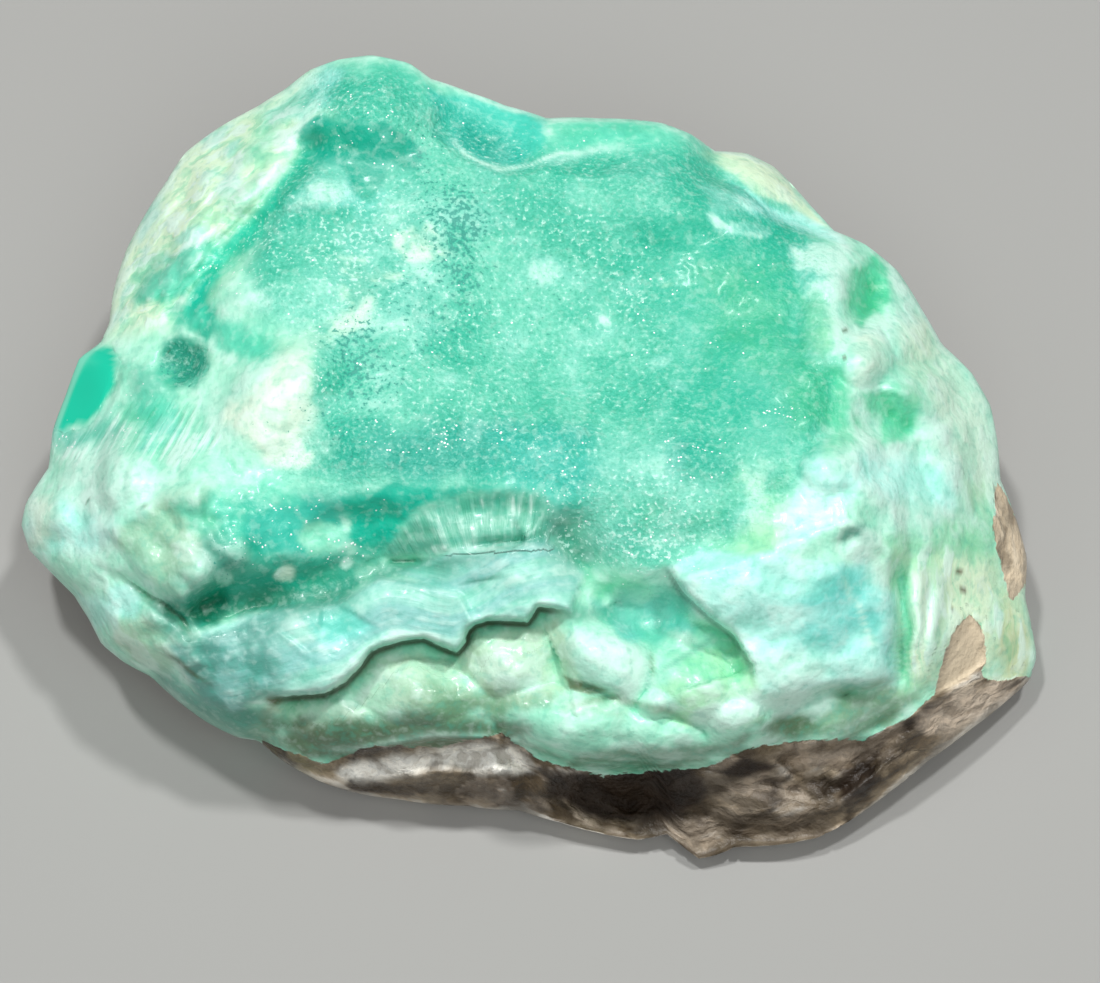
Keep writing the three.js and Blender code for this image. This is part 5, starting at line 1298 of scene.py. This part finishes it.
def paint_stone(mesh):
    points = coordinates(mesh) / MM / FIT - SHIFT
    relief, swell = relief_of(mesh, CREASE_ROUNDS), relief_of(mesh, SWELL_ROUNDS)
    front = np.empty(len(points), dtype=np.float32)
    mesh.attributes["front"].data.foreach_get("value", front)
    crust, rock, flow, shares = painted(Skin(points, relief, swell, front))
    for name, colour in (("crust_tint", crust), ("rock_tint", rock)):
        tint = mesh.color_attributes.new(name, "FLOAT_COLOR", "POINT")
        tint.data.foreach_set("color", np.c_[colour, np.ones(len(colour))].ravel())
    mesh.attributes.new("flow", "FLOAT_VECTOR", "POINT").data.foreach_set("vector", flow.ravel())
    for name, values in shares.items():
        mesh.attributes.new(name, "FLOAT", "POINT").data.foreach_set("value", values)


# ---- Shader maths ----
class Signal:
    """A node's output, so that shader maths reads as plain arithmetic."""

    def __init__(self, tree, socket):
        self.tree, self.socket = tree, socket

    def maths(self, operation, *values, **settings):
        return node(self.tree, "Math", {"operation": operation, **settings}, dict(enumerate(values)))()

    def __add__(self, other):
        return self.maths("ADD", self, other)

    def __sub__(self, other):
        return self.maths("SUBTRACT", self, other)

    def __rsub__(self, other):
        return self.maths("SUBTRACT", other, self)

    def __mul__(self, other):
        return self.maths("MULTIPLY", self, other)

    __radd__, __rmul__ = __add__, __mul__

    def __gt__(self, other):
        return self.maths("GREATER_THAN", self, other)

    def __lt__(self, other):
        return self.maths("LESS_THAN", self, other)

    def between(self, low, high):
        """0 at low and 1 at high, eased."""
        return node(self.tree, "MapRange", {"interpolation_type": "SMOOTHSTEP"},
                    {"Value": self, "From Min": low, "From Max": high})()


def node(tree, kind, settings=None, sockets=None):
    """Adds a node, sets it and fills its inputs; the result gives its outputs by name."""
    made = tree.nodes.new("ShaderNode" + kind)
    for name, value in (settings or {}).items():
        setattr(made, name, value)
    for name, value in (sockets or {}).items():
        target = made.inputs[name]
        if isinstance(value, Signal):
            tree.links.new(value.socket, target)
        else:
            target.default_value = value
    return lambda name=0: Signal(tree, made.outputs[name])


# The finish's tones, as linear light, among them the white of the painted glints and the dark of the painted
# shadow under the broken edges. Those that darken or warm are multiplied in.
SILKY, VEINED = (0.74, 0.97, 0.88, 1), (0.42, 0.8, 0.7, 1)
SUGAR, WET_SUGAR = (0.5, 0.9, 0.76, 1), (0.3, 0.72, 0.62, 1)
BLOOM, DEPTH = (0.8, 1, 0.93, 1), (0.06, 0.46, 0.34, 1)
PALE_GRAIN, DARK_GRAIN, GLINT = (0.66, 0.95, 0.85, 1), (0.03, 0.3, 0.24, 1), (1, 1, 1, 1)
ROCK_LIT, ROCK_VEIN, ROCK_PIT = (1.5, 1.46, 1.42, 1), (0.42, 0.38, 0.34, 1), (0.6, 0.56, 0.5, 1)
EDGE_SHADOW = (0.035, 0.05, 0.02, 1)

# Sizes of the grain in the finish, in millimetres, and heights of its relief, in metres.
WISP_MM, MID_MM, SALT_MM, RIDGE_MM = 4, 0.9, 0.42, 2.6
SALT_HEIGHT, MID_HEIGHT, FIBRE_HEIGHT, SILK_HEIGHT = 0.00014, 0.00007, 0.0006, 0.0003
ROCK_HEIGHT, CLEAVAGE_HEIGHT, GRAIN_LEAN = 0.0003, 0.001, 0.2
COAT, COAT_ROUGHNESS = 0.16, 0.15


def smithsonite_finish():
    material = bpy.data.materials.new("smithsonite")
    material.use_nodes = True
    tree = material.node_tree
    shader = tree.nodes["Principled BSDF"]
    where = node(tree, "TexCoord")("Object")

    def attribute(name, output="Fac"):
        return node(tree, "Attribute", {"attribute_name": name})(output)

    def grain(size_mm, detail):
        return node(tree, "TexNoise", {}, {"Vector": where, "Scale": 1000 / size_mm, "Detail": detail})("Fac")

    def blend(amount, under, over, mode="MIX"):
        return node(tree, "Mix", {"data_type": "RGBA", "blend_type": mode}, {0: amount, 6: under, 7: over})(2)

    def vector(operation, first, second, output=0):
        return node(tree, "VectorMath", {"operation": operation}, {0: first, 1: second})(output)

    def raised(pattern, low, high):
        """Where a noise stands above its middle, from low to high."""
        return (pattern - 0.5).between(low, high)

    def sunk(pattern, low, high):
        return (0.5 - pattern).between(low, high)

    # what the skin says of each place
    crust_tint = attribute("crust_tint", "Color")
    fibrous, druse, glitter = attribute("fibrous"), attribute("druse"), attribute("glitter")
    dark_share = attribute("dark_grains")
    pale_share = attribute("pale_grains") * (1 - 0.8 * dark_share)
    mid, salt = grain(MID_MM, 3), grain(SALT_MM, 2)
    flow = attribute("flow", "Vector")
    streaks = node(tree, "TexNoise", {}, {"Vector": flow, "Scale": 1, "Detail": 4})("Fac")
    fibre = fibrous * streaks + (1 - fibrous) * grain(WISP_MM, 5)
    rock = (attribute("rock_edge") + 0.8 * (mid - 0.5)).between(-0.08, 0.08)
    face = (attribute("face_edge") + 0.5 * (mid - 0.5)).between(-0.08, 0.08)
    crust, bare = (1 - rock) * (1 - face), rock * (1 - face)
    waxy = (1 - druse) * (1 - rock) * (1 - face)
    light = node(tree, "SeparateColor", {}, {0: crust_tint})(0).between(0.05, 0.4)

    # one cell to each small crystal: where it stands, how it leans and which sort it is
    cells = node(tree, "TexVoronoi", {}, {"Vector": where, "Scale": 1000 / GRAIN_MM})
    off = vector("SUBTRACT", where, cells("Position"))
    lean = vector("SUBTRACT", cells("Color"), (0.5, 0.5, 0.5))
    tilt = vector("DOT_PRODUCT", off, lean, "Value")
    sort = node(tree, "SeparateXYZ", {}, {"Vector": cells("Color")})("Z")
    # painted highlights: white glints on single crystals, thickest along wavy rows, where the roughness is
    # lower too
    rows = vector("MULTIPLY", where, (0.55, 1.5, 1))
    wave = node(tree, "TexNoise", {}, {"Vector": rows, "Scale": 1000 / RIDGE_MM, "Detail": 1})("Fac") - 0.5
    ridge = 1 - (wave * wave * 700)
    glints = cells("Distance").between(0.5, 0.26) * (sort < 0.5 * glitter * ridge)
    pale = (salt + 0.26 * pale_share - 0.7).between(0, 0.1) * (pale_share > 0.03)
    dark = (0.27 + 0.19 * dark_share - salt).between(-0.02, 0.06) * (dark_share > 0.03)
    # painted shadow: a dark line just under each broken edge that has one
    edge = attribute("edge_side") + 0.3 * (mid - 0.5)
    edge_shadow = edge.between(0, -0.1) * edge.between(-0.75, -0.3) * attribute("edge_share")

    colour = blend(rock, crust_tint, attribute("rock_tint", "Color"))
    for amount, tone, mode in (
            (raised(fibre, 0.01, 0.1) * waxy * light * (0.35 + 0.3 * fibrous), SILKY, "MIX"),
            (sunk(fibre, 0.01, 0.1) * waxy * (0.35 + 0.25 * fibrous), VEINED, "MULTIPLY"),
            (raised(salt, 0, 0.2) * druse * 0.28, SUGAR, "MIX"),
            (sunk(salt, 0, 0.2) * druse * 0.4, WET_SUGAR, "MULTIPLY"),
            (raised(mid, 0, 0.2) * crust * 0.14, BLOOM, "MIX"),
            (sunk(mid, 0, 0.2) * crust * 0.25, DEPTH, "MIX"),
            (pale * 0.45, PALE_GRAIN, "MIX"),
            (dark * 0.8, DARK_GRAIN, "MIX"),
            # painted highlight: the white glints
            (glints, GLINT, "MIX"),
            (raised(fibre, 0.02, 0.08) * bare * 0.55, ROCK_LIT, "MULTIPLY"),
            (sunk(fibre, 0.01, 0.08) * bare * 0.5, ROCK_VEIN, "MULTIPLY"),
            (sunk(mid, 0.02, 0.2) * rock * 0.3, ROCK_PIT, "MULTIPLY"),
            (edge_shadow * 0.9, EDGE_SHADOW, "MIX")):
        colour = blend(amount, colour, tone, mode)

    rough = 0.36 + 0.14 * mid + 0.14 * druse + 0.04 * rock - 0.2 * glints - 0.2 * face * (1 - rock)
    height = (druse * (tilt * GRAIN_LEAN + (salt - 0.5) * SALT_HEIGHT)
              + waxy * ((mid - 0.5) * MID_HEIGHT + (fibre - 0.5) * (FIBRE_HEIGHT - SILK_HEIGHT * fibrous))
              + rock * (mid - 0.5) * ROCK_HEIGHT + bare * (fibre - 0.5) * CLEAVAGE_HEIGHT)
    bump = node(tree, "Bump", {}, {"Height": height, "Distance": 1, "Strength": 1})()
    for signal, name in ((colour, "Base Color"), (rough, "Roughness"), (bump, "Normal"),
                         (COAT * waxy, "Coat Weight")):
        tree.links.new(signal.socket, shader.inputs[name])
    shader.inputs["Coat Roughness"].default_value = COAT_ROUGHNESS
    return material


paint_stone(stone.data)
stone.data.materials.append(smithsonite_finish())
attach(stone, "root")
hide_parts("smithsonite_specimen")


# ---- Floor, light and camera ----
FLOOR_SIZE, FLOOR_TONE, FLOOR_ROUGHNESS = 0.9, (0.36, 0.36, 0.345, 1), 0.8
ROOM_LIGHT = 0.11
LOOK_AT = (0, 0, 0.01)


def make_floor():
    bm = bmesh.new()
    bmesh.ops.create_grid(bm, x_segments=1, y_segments=1, size=FLOOR_SIZE)
    mesh = bpy.data.meshes.new("floor")
    bm.to_mesh(mesh)
    bm.free()
    floor = bpy.data.objects.new("floor", mesh)
    bpy.context.scene.collection.objects.link(floor)
    paint = bpy.data.materials.new("floor_paint")
    paint.use_nodes = True
    shader = paint.node_tree.nodes["Principled BSDF"]
    shader.inputs["Base Color"].default_value = FLOOR_TONE
    shader.inputs["Roughness"].default_value = FLOOR_ROUGHNESS
    mesh.materials.append(paint)


def add_light(name, place_m, size, power, gloss=True):
    lamp = bpy.data.lights.new(name, "AREA")
    lamp.shape = "DISK"
    lamp.size = size
    lamp.energy = power
    lit = bpy.data.objects.new(name, lamp)
    lit.location = place_m
    lit.visible_glossy = gloss
    lit.rotation_euler = (Vector(LOOK_AT) - Vector(place_m)).to_track_quat("-Z", "Y").to_euler()
    bpy.context.scene.collection.objects.link(lit)


def add_room_light():
    world = bpy.data.worlds.new("studio")
    bpy.context.scene.world = world
    world.use_nodes = True
    background = world.node_tree.nodes["Background"]
    background.inputs["Color"].default_value = (1, 1, 1, 1)
    background.inputs["Strength"].default_value = ROOM_LIGHT


def add_camera():
    camera = bpy.data.objects.new("display_camera", bpy.data.cameras.new("display_camera"))
    camera.data.lens = LENS_MM
    camera.data.sensor_width = SENSOR_MM
    right = Vector((1, 0, 0))
    up = Vector((0, RISE, LEAN))
    towards = Vector((0, -LEAN, RISE))
    turn = Matrix((right, up, towards)).transposed().to_4x4()
    middle = Vector((float(SHIFT[0]), float(SHIFT[1]), MIDDLE_HEIGHT)) * MM
    turn.translation = middle + towards * SIGHT_DISTANCE * MM
    camera.matrix_world = turn
    bpy.context.scene.collection.objects.link(camera)
    bpy.context.scene.camera = camera


make_floor()
add_light("key_left", (-0.12, 0.10, 0.55), 0.05, 1.45)
add_light("key_right", (0.15, 0.10, 0.55), 0.05, 1.45)
add_light("fill_left", (-0.32, -0.14, 0.34), 0.4, 0.3, gloss=False)
add_light("fill", (0.10, -0.34, 0.46), 0.5, 1.3, gloss=False)
add_room_light()
add_camera()
bpy.context.scene.view_settings.view_transform = "Standard"
